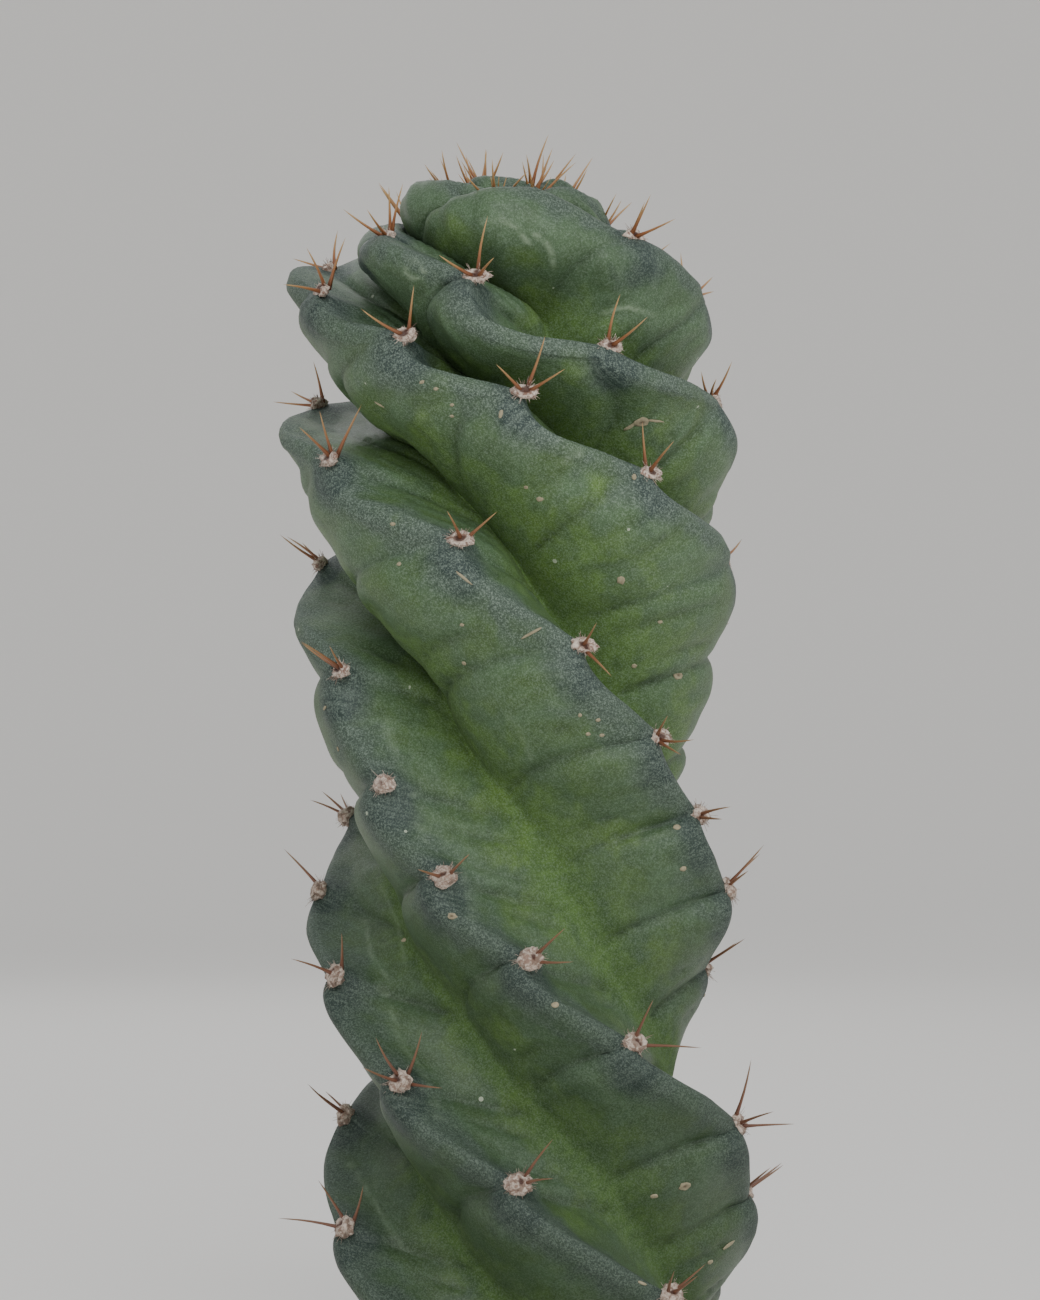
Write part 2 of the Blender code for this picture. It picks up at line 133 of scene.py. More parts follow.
# Below each areole a crest drops steeply and then runs on flatter to the next one: how far it lags behind
# an even course, by level, in degrees. Down the flank the lag fades.
CREST_LAG = ((-30, 7.5), (130, 7.5), (180, 6), (262, 5.5), (290, 4), (310, 0), (345, 0))
LAG_SKEW = 0.7
LAG_FADE = 1.5
# How far the crest dips below each areole, by level, in mm. It dips less where the levels of two areoles
# are closer than DIP_SPACING, and down the flank the dip fades.
CREST_DIP = ((-30, 0), (150, 0.5), (200, 2.5), (250, 4), (272, 4), (282, 1.5), (298, 1), (312, 0), (345, 0))
DIP_SPACING = 14
DIP_FADE = 2
# Not every rib swells alike: its share of those swellings, as (level, share), for each rib.
RIB_SWELLING = (((-30, 1), (240, 1), (258, 0.4), (274, 0.5), (286, 1.2), (310, 1), (345, 1)),
                ((-30, 1), (284, 1), (297, 0.5), (306, 0.4), (320, 1), (345, 1)),
                ((-30, 1), (262, 1), (280, 0.35), (298, 0.5), (312, 1), (345, 1)),
                ((-30, 1), (225, 1), (238, 0.35), (262, 0.5), (290, 1), (345, 1)))
# The flesh that fills out the crests, by level, and its share in the furrows.
FLESH = ((-30, 2), (150, 2), (215, 2.4), (260, 2.4), (285, 2.6), (305, 3.2), (325, 2.5), (338, 1), (345, 0))
FURROW_FLESH = 0.25
# How far apart the points are that give the skin's direction: in levels, and as a share of a rib.
NORMAL_STEP = 1.2
AROUND_STEP = 0.04
# How far the swellings hang down across the flank above a crest, and by level below it, in a bend that is
# slow at first.
SAG_ABOVE = 12
SAG_BELOW = ((-30, 7), (185, 8), (215, 14), (245, 20), (275, 16), (300, 7), (345, 5))
SAG_BEND = 1.5

SKIN_COLUMNS = 256
# Rows of points: from, to and spacing in levels. They are closer where the twist is tighter.
SKIN_ROWS = ((-4, 192, 1.15), (192, 240, 0.95), (240, 288, 0.75), (288, 333, 0.7), (333, 345.01, 0.6))

# Low relief in mm, which ends between the two levels of SMOOTH_TIP: dents and ripples as (size, height), and
# the pillows between the creases that hang from each areole, by level. A crease cuts in from the share
# PILLOW_RISE of the height. The painted shade in its bottom is narrower than its slopes.
SMOOTH_TIP = (325, 343)
DENTS = ((30, 0.9), (13, 0.45), (5.5, 0.14))
PILLOWS = ((-30, 2.7), (190, 2.3), (230, 1.6), (285, 2.2), (322, 2.4), (340, 0))
PILLOW_RISE = 0.25
CREASE_WIDTH = 0.085
CREASE_BOTTOM = 0.5
# Some creases and folds are stronger than others: the mean, and how far they go from it either way.
CREASE_MEAN = 0.8
CREASE_SPREAD = 0.4
FOLD_MEAN = 0.5
FOLD_SPREAD = 0.5
# How far a crease hangs down across the flank above a crest, by level: on the old ribs it runs level.
CREASE_SAG = ((-30, 3), (180, 4), (230, 12), (345, 12))
# Short creases lie between two long ones, as the place on the way from one to the other, how far they stray,
# their width and depth as shares of a long one's, and how dark the shade painted in them is.
SHORT_CREASE_PLACE = 0.27
SHORT_CREASE_STRAY = 0.07
SHORT_CREASE_WIDTH = 0.4
SHORT_CREASE_DEPTH = 0.45
SHORT_CREASE_SHADE = 0.5
# Soft folds fan out from each crest: their height and how far they run down the flank, by level. They are
# lower on the flank above a crest.
FOLD_HEIGHT = ((-30, 0.2), (180, 0.25), (240, 0.65), (345, 0.65))
FOLD_FALL = ((-30, 5), (180, 7), (240, 22), (345, 22))
FOLDS_PER_AREOLE = 2.3
FOLD_STRAY = 0.35
FOLD_ABOVE = 0.6
# Where creases, short creases and folds begin, are full, begin to fade and end, on the way from the crest to
# the furrow.
CREASE_BAND = (0.05, 0.22, 0.75, 1)
SHORT_CREASE_BAND = (0.2, 0.4, 0.6, 0.9)
FOLD_BAND = (0.12, 0.4, 0.7, 1)

# The painted shade round and under each areole, in mm: how far it reaches and how far below the areole its
# middle lies. It is longer than it is wide.
AREOLE_SHADE_RADIUS = 7.5
AREOLE_SHADE_DROP = 3.5
AREOLE_SHADE_SHAPE = (1, 1, 0.8)
# The skin is oldest below the first level and youngest above the second. The old skin low down is also
# painted darker, as shade where the light falls off towards the foot.
OLD_SKIN = (60, 250)

# The places of single marks are given in the plane through the stem's axis as the camera sees it. They
# fall on skin that faces the camera: where it starts to and where it fully does, as the way that its
# direction points to the front, and no further back than this, in m.
FACING_FRONT = (-0.1, 0.25)
FURTHEST_BACK = 0.01
# Bright yellow-green places where young flesh shows in the furrows, as right, height and width in mm.
YOUNG_PATCHES = (
    (-16.8, 297, 5), (2.5, 290, 6), (4.5, 278.5, 6), (-16.8, 264, 5), (14.8, 262, 6), (-24, 247.5, 5),
    (4.8, 223, 6), (5.5, 210, 5), (-6, 155.5, 6), (0.5, 144, 7), (24.5, 147, 6), (-4.2, 97, 5), (0.8, 80, 6),
    (13.5, 51, 6), (-13, 167, 5), (-1, 127, 5), (-30, 222, 4), (34, 118, 5), (20, 232, 5),
)
# Pale raised lines where growth halted for a season, as points (right, height) in the same plane. They are
# paler above the second level of LINE_AGES than below the first, where they keep the share OLD_LINE.
LINE_WIDTH = 0.5
LINE_HEIGHT = 0.12
LINE_AGES = (200, 270)
OLD_LINE = 0.4
GROWTH_LINES = (
    ((-9.2, 299), (-4.2, 300), (-0.5, 298), (2, 294)),
    ((3.8, 296.5), (6.5, 294), (8.2, 291), (7.8, 288)),
    ((20.8, 276.5), (24, 277.8), (27.2, 278.2), (33.5, 276.2)),
    ((-28.8, 287.2), (-27.5, 290), (-25, 290.2), (-23.8, 288.8), (-24.5, 286), (-27, 285.2), (-28.8, 287.2)),
    ((10.2, 239), (13, 241.2), (16.8, 241.8), (20.8, 239.8)),
    ((-35.2, 186), (-33.5, 176), (-31, 165.2), (-26, 155.5), (-24.5, 145.5), (-22.8, 143)),
    ((-2.8, 176), (0, 172), (3, 165.2)),
    ((-34.5, 133.2), (-30.5, 124), (-28.8, 114.5)),
    ((-38.8, 124.8), (-37.2, 116.2), (-33, 110.5)),
    ((-33.8, 106.2), (-29.5, 94.2), (-24.5, 87.5), (-20.2, 75.8)),
    ((-14.2, 139.2), (-11.5, 123)),
    ((-42.2, 64), (-34.5, 51.2), (-28.8, 42)),
)


def smooth_curve(points, at):
    """A curve through the points that never overshoots them, read at the given places."""
    x, y = np.array(points, float).T
    step = np.diff(x)
    slope = np.diff(y) / step
    steep = np.zeros_like(x)
    steep[0], steep[-1] = slope[0], slope[-1]
    for i in range(1, len(slope)):
        if slope[i - 1] * slope[i] > 0:
            before, after = 2 * step[i] + step[i - 1], step[i] + 2 * step[i - 1]
            steep[i] = (before + after) / (before / slope[i - 1] + after / slope[i])
    at = np.clip(at, x[0], x[-1])
    i = np.clip(np.searchsorted(x, at) - 1, 0, len(step) - 1)
    s = (at - x[i]) / step[i]
    return ((1 + 2 * s) * (1 - s) ** 2 * y[i] + s * (1 - s) ** 2 * step[i] * steep[i]
            + s * s * (3 - 2 * s) * y[i + 1] + s * s * (s - 1) * step[i] * steep[i + 1])


def column(table, number):
    """The pairs of a table's first column and the one with the given number."""
    return [(row[0], row[number]) for row in table]


def areole_count(rib, level):
    """How many areoles of a rib lie below this level, counting on smoothly between them."""
    return smooth_curve([(point[0], number) for number, point in enumerate(rib)], level)


def hump(rib, level):
    """How far the rib swells at this level: sharply just below each areole, fading to the next one down."""
    below_areole = (-areole_count(rib, level)) % 1.0
    return np.clip(np.sin(math.pi * below_areole ** HUMP_SKEW), 0, 1) ** HUMP_NARROWNESS


def dip(rib, level):
    """How far the crest dips below each areole, as a share of the most it does."""
    spacing = 2 / np.maximum(areole_count(rib, level + 1) - areole_count(rib, level - 1), 0.02)
    return hump(rib, level) * np.minimum(spacing / DIP_SPACING, 1)


def lag(rib, level):
    """How far the crest lags behind its even course, as a share of the most: most in the first half."""
    below_areole = (-areole_count(rib, level)) % 1.0
    return np.clip(np.sin(math.pi * below_areole ** LAG_SKEW), 0, 1)


def soften(value, rounding):
    """A straight line from 0 to 1 that starts level."""
    return (np.hypot(value, rounding) - rounding) / (np.hypot(1, rounding) - rounding)


def across_flank(across, level):
    """Which rib a place belongs to, whether it is above its crest, and its share of the way to the furrow."""
    share = across % 1.0
    furrow_share = smooth_curve(column(FLANKS, 1), level)
    above = share < furrow_share
    off_crest = np.where(above, share / furrow_share, (1 - share) / (1 - furrow_share))
    rib = (np.floor(across).astype(int) + np.where(above, 0, 1)) % len(RIBS)
    return rib, above, off_crest


def sagged_level(level, above, off_crest):
    """The level at which an areole's line, which hangs down across the flank, leaves the crest."""
    return level + np.where(above, SAG_ABOVE, smooth_curve(SAG_BELOW, level)) * off_crest ** SAG_BEND


def rib_points(across, level):
    """Points of the ribs before they fill out. Across counts ribs, its fraction the way to the next one."""
    across, level = np.broadcast_arrays(np.asarray(across, float), np.asarray(level, float))
    share = across % 1.0
    courses = []
    for number, course in enumerate(RIBS):
        bends = [(bend[1], bend[2]) for bend in BENDS if bend[0] == number]
        courses.append(smooth_curve(sorted(column(course, 1) + bends), level))
    courses.append(courses[0] + 360)
    first = np.floor(across).astype(int) % len(RIBS)
    azimuth = np.choose(first, courses[:-1]) * (1 - share) + np.choose(first, courses[1:]) * share

    rib, above, off_crest = across_flank(across, level)
    lagging = np.choose(rib, [lag(course, level) for course in RIBS]) * smooth_curve(CREST_LAG, level)
    azimuth = azimuth - lagging * (1 - off_crest) ** LAG_FADE
    fullness = np.where(above, smooth_curve(column(FLANKS, 2), level), smooth_curve(column(FLANKS, 3), level))
    swell = 1 - soften(off_crest, smooth_curve(column(FLANKS, 4), level)) ** fullness
    cord = smooth_curve(column(FLANKS, 5), level)
    swell = swell * (1 - cord) + np.exp(-(off_crest / CORD_WIDTH) ** 2) * cord
    swell = soften(np.clip(swell, 0, 1), smooth_curve(FURROW_ROUNDING, level))

    reach = np.choose(rib, [smooth_curve(column(course, 2), level) for course in RIBS])
    radius = smooth_curve(column(FURROW, 1), level)
    radius = radius + (smooth_curve(column(CREST, 1), level) + reach - radius) * swell
    height = smooth_curve(column(FURROW, 2), level)
    height = height + (smooth_curve(column(CREST, 2), level) - height) * swell

    sagged = sagged_level(level, above, off_crest)
    swelling = np.choose(rib, [(hump(course, sagged) - CREST_NOTCH) * smooth_curve(share_of_rib, level)
                               for course, share_of_rib in zip(RIBS, RIB_SWELLING)])
    swelling = swelling * (1 - off_crest) ** (smooth_curve(column(HUMPS, 3), level) + FADE_ABOVE * above)
    radius = radius + swelling * smooth_curve(column(HUMPS, 1), level)
    height = height + swelling * smooth_curve(column(HUMPS, 2), level)

    dipping = np.choose(rib, [dip(course, level) for course in RIBS]) * smooth_curve(CREST_DIP, level)
    height = height - dipping * (1 - off_crest) ** DIP_FADE

    radius = np.maximum(radius - swell * smooth_curve(FLESH, level), 0)
    turn = np.radians(azimuth)
    x = radius * np.sin(turn) + smooth_curve(LEAN, height)
    return np.stack([x, -radius * np.cos(turn), height], axis=-1), swell


def stem_points(across, level):
    """Points of the skin, where the ribs are filled out with flesh along their normals, and those normals."""
    points, swell = rib_points(across, level)
    along = rib_points(across, level + NORMAL_STEP)[0] - rib_points(across, level - NORMAL_STEP)[0]
    around = rib_points(across + AROUND_STEP, level)[0] - rib_points(across - AROUND_STEP, level)[0]
    normal = np.cross(around, along)
    normal = normal / np.maximum(np.linalg.norm(normal, axis=-1, keepdims=True), 1e-9)
    flesh = smooth_curve(FLESH, level) * (FURROW_FLESH + (1 - FURROW_FLESH) * swell)
    return points + normal * flesh[..., None], normal, swell


def ramp(value, start, end):
    """A soft step from 0 at start to 1 at end."""
    part = np.clip((value - start) / (end - start), 0, 1)
    return part * part * (3 - 2 * part)


def band(value, rise, full, fade, end):
    """A soft step up from rise to full, and down again from fade to end."""
    return ramp(value, rise, full) * (1 - ramp(value, fade, end))


def noise_at(points, size, seed):
    """Soft noise from -1 to 1 at points in mm, with lumps of the given size."""
    shift = Vector((seed * 17.3, seed * 5.1, seed * 9.7))
    return np.array([noise.noise(Vector(point) / size + shift) for point in points.reshape(-1, 3).tolist()]
                    ).reshape(points.shape[:-1])


levels = np.concatenate([np.arange(start, end, step) for start, end, step in SKIN_ROWS])
levels[-1] = SKIN_ROWS[-1][1]
skin_mesh = bmesh.new()
skin_uv = skin_mesh.loops.layers.uv.new("ribs")
bmesh.ops.create_grid(skin_mesh, x_segments=SKIN_COLUMNS, y_segments=len(levels) - 1, size=1)
places = np.array([vert.co[:2] for vert in skin_mesh.verts]) / 2 + 0.5
across = places[:, 0] * len(RIBS)
row = np.rint(places[:, 1] * (len(levels) - 1)).astype(int)
level = levels[row]
for face in skin_mesh.faces:
    for loop in face.loops:
        loop[skin_uv].uv = (loop.vert.co.x / 2 + 0.5, loop.vert.co.y / 2 + 0.5)

smooth_points, normals, swell = stem_points(across, level)
rib, above, off_crest = across_flank(across, level)
young = 1 - ramp(level, *SMOOTH_TIP)

relief = np.zeros(len(level))
for seed, (size, height) in enumerate(DENTS):
    relief += noise_at(smooth_points, size, seed + 1) * height
sagged = sagged_level(level, above, off_crest)
sagged = np.where(above, level + smooth_curve(CREASE_SAG, level) * off_crest ** SAG_BEND, sagged)
count = np.choose(rib, [areole_count(course, sagged) for course in RIBS])
to_areole_line = np.abs(count - np.rint(count))
flank_part = band(off_crest, *CREASE_BAND)
unevenness = CREASE_MEAN + CREASE_SPREAD * noise_at(smooth_points, size=14, seed=7)
pillow = (PILLOW_RISE - np.exp(-to_areole_line / CREASE_WIDTH)) * flank_part * unevenness
# The dark that follows each crease's bottom is painted shade.
crease = np.exp(-to_areole_line / (CREASE_WIDTH * CREASE_BOTTOM)) * flank_part * unevenness
stray = SHORT_CREASE_STRAY * noise_at(smooth_points, size=26, seed=8)
to_short_crease = np.abs(np.abs(count - np.rint(count) + stray) - SHORT_CREASE_PLACE)
here_and_there = ramp(noise_at(smooth_points, size=24, seed=5), -0.1, 0.3)
short_part = band(off_crest, *SHORT_CREASE_BAND) * here_and_there
short_crease = np.exp(-to_short_crease / (CREASE_WIDTH * SHORT_CREASE_WIDTH)) * short_part
fallen = level + smooth_curve(FOLD_FALL, level) * off_crest
fanned = np.choose(rib, [areole_count(course, fallen) for course in RIBS])
fold_stray = FOLD_STRAY * noise_at(smooth_points, size=22, seed=9)
folds = np.sin(2 * math.pi * (fanned * FOLDS_PER_AREOLE + fold_stray))
folds *= band(off_crest, *FOLD_BAND) * np.where(above, FOLD_ABOVE, 1)
folds *= FOLD_MEAN + FOLD_SPREAD * noise_at(smooth_points, size=18, seed=11)
creased = pillow - SHORT_CREASE_DEPTH * short_crease
relief += folds * smooth_curve(FOLD_HEIGHT, level) + creased * smooth_curve(PILLOWS, level)
skin_points = (smooth_points + normals * (relief * young)[:, None]) * MM

# Where each point lies in the plane through the stem's axis, as the camera sees it.
nearness = CAMERA_DISTANCE / (CAMERA_DISTANCE + skin_points[:, 1])
seen_right = skin_points[:, 0] * nearness / MM
seen_height = (CAMERA_HEIGHT + (skin_points[:, 2] - CAMERA_HEIGHT) * nearness) / MM
in_front = ramp(-normals[:, 1], *FACING_FRONT) * (skin_points[:, 1] < FURTHEST_BACK)

patch = np.zeros(len(level))
for right, height, width in YOUNG_PATCHES:
    reach = np.hypot(seen_right - right, seen_height - height) / width
    patch = np.maximum(patch, np.exp(-reach ** 2) * in_front)
line = np.zeros(len(level))
for points in GROWTH_LINES:
    for (x0, z0), (x1, z1) in zip(points, points[1:]):
        length = math.hypot(x1 - x0, z1 - z0)
        part = np.clip(((seen_right - x0) * (x1 - x0) + (seen_height - z0) * (z1 - z0)) / length ** 2, 0, 1)
        away = np.hypot(seen_right - x0 - part * (x1 - x0), seen_height - z0 - part * (z1 - z0))
        line = np.maximum(line, np.exp(-(away / LINE_WIDTH) ** 2) * in_front)
skin_points += normals * (line * LINE_HEIGHT * MM)[:, None]
line *= OLD_LINE + (1 - OLD_LINE) * ramp(level, *LINE_AGES)

# The skin round and just below each areole is painted dark blue-grey, as shade under the cushion, and
# pleated.
areole_shade = np.zeros(len(level))
for rib_number, course in enumerate(RIBS):
    for areole_level, azimuth, reach in course[:-1]:
        centre = stem_points(np.array(float(rib_number)), np.array(float(areole_level)))[0]
        centre = centre + np.array([0, 0, -AREOLE_SHADE_DROP])
        far = np.linalg.norm((smooth_points - centre) * np.array(AREOLE_SHADE_SHAPE), axis=1) / AREOLE_SHADE_RADIUS
        areole_shade = np.maximum(areole_shade, np.exp(-far ** 2))

# In the material the crease values and the values round each areole are painted as shade, and the old skin is
# painted darker, as shade where the light falls off towards the foot.
skin_values = {"off_crest": off_crest, "patch": patch, "line": line, "fold": folds,
               "crease": crease + SHORT_CREASE_SHADE * short_crease, "areole_shade": areole_shade, "fan": fanned,
               "old": 1 - ramp(level, *OLD_SKIN)}
for name, values in skin_values.items():
    layer = skin_mesh.verts.layers.float.new(name)
    for vert, value in zip(skin_mesh.verts, values.tolist()):
        vert[layer] = value
for vert, point in zip(skin_mesh.verts, skin_points.tolist()):
    vert.co = point
bmesh.ops.remove_doubles(skin_mesh, verts=skin_mesh.verts[:], dist=1e-6)

# The cut closes the stem: its face is inset a little and drawn in, so that the rim round it is tucked.
CUT_INSET = 0.8
CUT_DRAWN_IN = 0.7
everything = skin_mesh.verts[:] + skin_mesh.edges[:] + skin_mesh.faces[:]
cut = bmesh.ops.bisect_plane(skin_mesh, geom=everything, plane_co=(0, 0, 0), plane_no=(0, 0, -1),
                             clear_outer=True)
rim = [edge for edge in cut["geom_cut"] if isinstance(edge, bmesh.types.BMEdge)]
foot = bmesh.ops.contextual_create(skin_mesh, geom=rim)["faces"]
bmesh.ops.recalc_face_normals(skin_mesh, faces=skin_mesh.faces[:])
bmesh.ops.inset_region(skin_mesh, faces=foot, thickness=CUT_INSET * MM, use_even_offset=False)
foot_outline = [vert.co.copy() for vert in foot[0].verts]
bmesh.ops.translate(skin_mesh, verts=foot[0].verts[:], vec=(0, 0, CUT_DRAWN_IN * MM))
for face in skin_mesh.faces:
    face.smooth = face not in foot
skin_tree = BVHTree.FromBMesh(skin_mesh)


def add_piece(name, mesh, material):
    """Make an object of a finished mesh, in its place and with its material."""
    data = bpy.data.meshes.new(name)
    mesh.to_mesh(data)
    mesh.free()
    data.materials.append(material)
    piece = bpy.data.objects.new(name, data)
    scene.collection.objects.link(piece)
    return piece


def srgb(code):
    """A colour written in sRGB hex, as linear light."""
    values = [int(code[i:i + 2], 16) / 255 for i in (1, 3, 5)]
    return [v / 12.92 if v <= 0.04045 else ((v + 0.055) / 1.055) ** 2.4 for v in values] + [1.0]


def add_node(tree, kind, inputs, output=0, **settings):
    """Add a shader node with its settings and links, and give the output that is asked for."""
    node = tree.nodes.new(kind)
    for name, value in settings.items():
        setattr(node, name, value)
    for name, value in inputs.items():
        if isinstance(value, bpy.types.NodeSocket):
            tree.links.new(value, node.inputs[name])
        else:
            node.inputs[name].default_value = value
    return node.outputs[output]


# Cactus epidermis: a tough green skin, matt to satin, with a waxy bloom that lies thick and granular on the
# crests and turns them blue-grey, wears into teal streaks down the flanks, and has never formed in the
# furrows, where the flesh shows yellow-green.
CREST_BLOOM = srgb("#4E5E52")
AREOLE_SHADE_BLUE = srgb("#2C3B3B")
FLANK_GREEN = srgb("#4C653C")
FLANK_DARK = srgb("#3B5131")
FLANK_TEAL = srgb("#5E7A59")
YOUNG_GREEN = srgb("#66863C")
FURROW_GREEN = srgb("#668744")
WAX_GRAIN = srgb("#94A596")
GROWTH_LINE = srgb("#95A88D")
DEEP_GREEN = srgb("#1E2C20")
WHITE_DOT = srgb("#B9C2AC")

epidermis = bpy.data.materials.new("cactus_epidermis")
epidermis.use_nodes = True
tree = epidermis.node_tree
surface = tree.nodes["Principled BSDF"]
spot = add_node(tree, "ShaderNodeTexCoord", {}, output="Object")
off, patch_amount, line_amount, fold_amount, crease_shade, areole_shade_amount, fan, oldness = [
    add_node(tree, "ShaderNodeAttribute", {}, output="Fac", attribute_name=name) for name in skin_values]

# Blotches of 26 mm, 9 mm and 2.5 mm, and wax grains of 0.4 mm, each from 0 to 1 with soft edges.
blotches = []
for size, detail, distortion, start, end in ((26, 2.0, 0.4, 0.36, 0.64), (9, 2.0, 0.3, 0.36, 0.64),
                                            (2.5, 2.0, 0.2, 0.32, 0.68), (0.4, 1.0, 0.9, 0.36, 0.64)):
    pattern = add_node(tree, "ShaderNodeTexNoise", {"Vector": spot, "Scale": 1 / (size * MM),
                                                    "Detail": detail, "Distortion": distortion})
    blotches.append(add_node(tree, "ShaderNodeMapRange", {"Value": pattern, "From Min": start,
                                                          "From Max": end}))
broad, small, mottle, grain = blotches

# Streaks that fan out down the flank from each crest: broad ones and fine pleats, as how many blotches of
# the pattern lie between two areoles, and the slice of the pattern.
STREAK_SHORTNESS = 1.6
streaks = []
for per_areole, pattern_slice in ((5.0, 0.0), (21.0, 5.0)):
    fan_way = add_node(tree, "ShaderNodeMath", {0: fan, 1: per_areole}, operation="MULTIPLY")
    down_way = add_node(tree, "ShaderNodeMath", {0: off, 1: STREAK_SHORTNESS}, operation="MULTIPLY")
    flank_place = add_node(tree, "ShaderNodeCombineXYZ", {"X": fan_way, "Y": down_way, "Z": pattern_slice})
    pattern = add_node(tree, "ShaderNodeTexNoise", {"Vector": flank_place, "Scale": 1.0, "Detail": 2.0,
                                                    "Distortion": 0.3})
    streaks.append(add_node(tree, "ShaderNodeMapRange", {"Value": pattern, "From Min": 0.4,
                                                         "From Max": 0.68}))
streak, pleat = streaks

# The crown is bluer and a little deeper, and there the yellow-green keeps to the bottoms of the furrows. It
# goes over from the stem between these two heights, in m.
CROWN_HEIGHTS = (0.25, 0.29)
height = add_node(tree, "ShaderNodeSeparateXYZ", {"Vector": spot}, output="Z")
crown = add_node(tree, "ShaderNodeMapRange", {"Value": height, "From Min": CROWN_HEIGHTS[0],
                                              "From Max": CROWN_HEIGHTS[1]}, interpolation_type="SMOOTHSTEP")

# Sums of a first value and of shares of others, so that the edge of each look wanders.
sums = []
for total, *parts in (
        (-0.08, (broad, 0.3), (small, 0.15), (crown, -0.2)),
        (streak, (fold_amount, 0.4)),
        (off, (small, 0.3)),
        (off, (small, 0.4), (oldness, -0.06), (crown, -0.16)),
        (0.0, (patch_amount, 0.8), (small, 0.5)),
        (off, (streak, -0.06), (small, 0.16)),
        (areole_shade_amount, (small, 0.4)),
        # The last sum darkens the old skin low down, as painted shade where the light falls off towards the
        # foot, and the crown a little.
        (0.0, (oldness, 0.44), (crown, 0.18))):
    for value, share in parts:
        total = add_node(tree, "ShaderNodeMath", {0: value, 1: share, 2: total}, operation="MULTIPLY_ADD")
    sums.append(total)
young_flesh, streaked, teal_edge, furrow_edge, patch_edge, bloom_edge, areole_shade_edge, falloff_shade_and_crown = sums

bloom = add_node(tree, "ShaderNodeMapRange", {"Value": bloom_edge, "From Min": 0.34, "From Max": 0.03},
                 interpolation_type="SMOOTHSTEP")
grain_edge = add_node(tree, "ShaderNodeMath", {0: areole_shade_amount, 1: -0.2, 2: bloom}, operation="MULTIPLY_ADD")

# Tiny white dots of wax lie scattered, at most one in each cell of 9 mm.
cells = add_node(tree, "ShaderNodeTexVoronoi", {"Vector": spot, "Scale": 1 / (9 * MM)}, output="Color")
cell_chance = add_node(tree, "ShaderNodeSeparateColor", {"Color": cells})

# Soft steps in a value, as where each starts and ends, and what it gives there.
soft = {}
for name, value, start, end, low, high in (
        ("thin wax", small, 0.9, 0.2, 0.0, 1.0),
        ("teal flank", teal_edge, 1.0, 0.5, 0.0, 1.0),
        ("furrow", furrow_edge, 0.58, 1.08, 0.0, 1.0),
        ("young patch", patch_edge, 0.45, 1.1, 0.0, 1.0),
        ("areole_shade", areole_shade_edge, 0.3, 0.9, 0.0, 1.0),
        ("pale grain", grain, 0.45, 1.0, 0.0, 1.0),
        ("dark grain", grain, 0.55, 0.0, 0.0, 1.0),
        ("grain share", grain_edge, 0.0, 1.0, 0.27, 0.42),
        ("dot size", cell_chance, 0.6, 1.0, 0.0, 0.07),
        ("line share", mottle, 0.0, 0.6, 0.15, 0.55),
        ("wax roughness", bloom, 0.0, 1.0, 0.46, 0.62),
        ("furrow dulling", off, 0.55, 0.9, 0.0, 0.5),
        ("pore depth", bloom, 0.0, 1.0, 0.5, 1.0)):
    soft[name] = add_node(tree, "ShaderNodeMapRange", {"Value": value, "From Min": start, "From Max": end,
                                                       "To Min": low, "To Max": high},
                          interpolation_type="SMOOTHSTEP")
teal = add_node(tree, "ShaderNodeMath", {0: streaked, 1: soft["teal flank"]}, operation="MULTIPLY",
                use_clamp=True)
pleats = add_node(tree, "ShaderNodeMath", {0: pleat, 1: areole_shade_amount}, operation="MULTIPLY", use_clamp=True)
dots = add_node(tree, "ShaderNodeMath", {0: cells.node.outputs["Distance"], 1: soft["dot size"]},
                operation="LESS_THAN")

# The colours, each laid over those before it: first those of the flesh, then those of the wax on it, and
# among them painted shade in the creases, under each areole and towards the foot.
skin_colour = FLANK_GREEN
for amount, share, colour in (
        (broad, 0.65, FLANK_DARK),
        (soft["thin wax"], 0.4, FLANK_TEAL),
        (young_flesh, 1.0, YOUNG_GREEN),
        (crown, 0.4, FLANK_TEAL),
        (teal, 0.7, FLANK_TEAL),
        (soft["furrow"], 0.9, FURROW_GREEN),
        (soft["young patch"], 0.8, YOUNG_GREEN),
        (mottle, 0.42, FLANK_DARK),
        # painted shade in the bottoms of the creases
        (crease_shade, 0.62, DEEP_GREEN),
        (bloom, 1.0, CREST_BLOOM),
        # painted shade round and under each areole
        (soft["areole_shade"], 0.92, AREOLE_SHADE_BLUE),
        (pleats, 0.28, WAX_GRAIN),
        (soft["pale grain"], soft["grain share"], WAX_GRAIN),
        (soft["dark grain"], soft["grain share"], DEEP_GREEN),
        # painted shade towards the foot, and the crown a little darker
        (falloff_shade_and_crown, 1.0, DEEP_GREEN),
        (dots, 0.75, WHITE_DOT),
        (line_amount, soft["line share"], GROWTH_LINE)):
    cover = add_node(tree, "ShaderNodeMath", {0: amount, 1: share}, operation="MULTIPLY", use_clamp=True)
    skin_colour = add_node(tree, "ShaderNodeMix", {"Factor": cover, 6: skin_colour, 7: colour}, output=2,
                           data_type="RGBA")
tree.links.new(skin_colour, surface.inputs["Base Color"])

# Wax is rougher than bare flesh, and so is the bottom of a furrow. The grains of the wax are also its relief.
roughness = add_node(tree, "ShaderNodeMath", {0: soft["wax roughness"], 1: soft["furrow dulling"]},
                     operation="ADD")
tree.links.new(roughness, surface.inputs["Roughness"])
surface.inputs["Specular IOR Level"].default_value = 0.4
surface.inputs["IOR"].default_value = 1.45
pores = add_node(tree, "ShaderNodeBump", {"Height": grain, "Distance": 0.06 * MM,
                                          "Strength": soft["pore depth"]})
tree.links.new(pores, surface.inputs["Normal"])

skin = add_piece("cactus_skin", skin_mesh, epidermis)
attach(skin, "root")
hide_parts("cactus_stem")

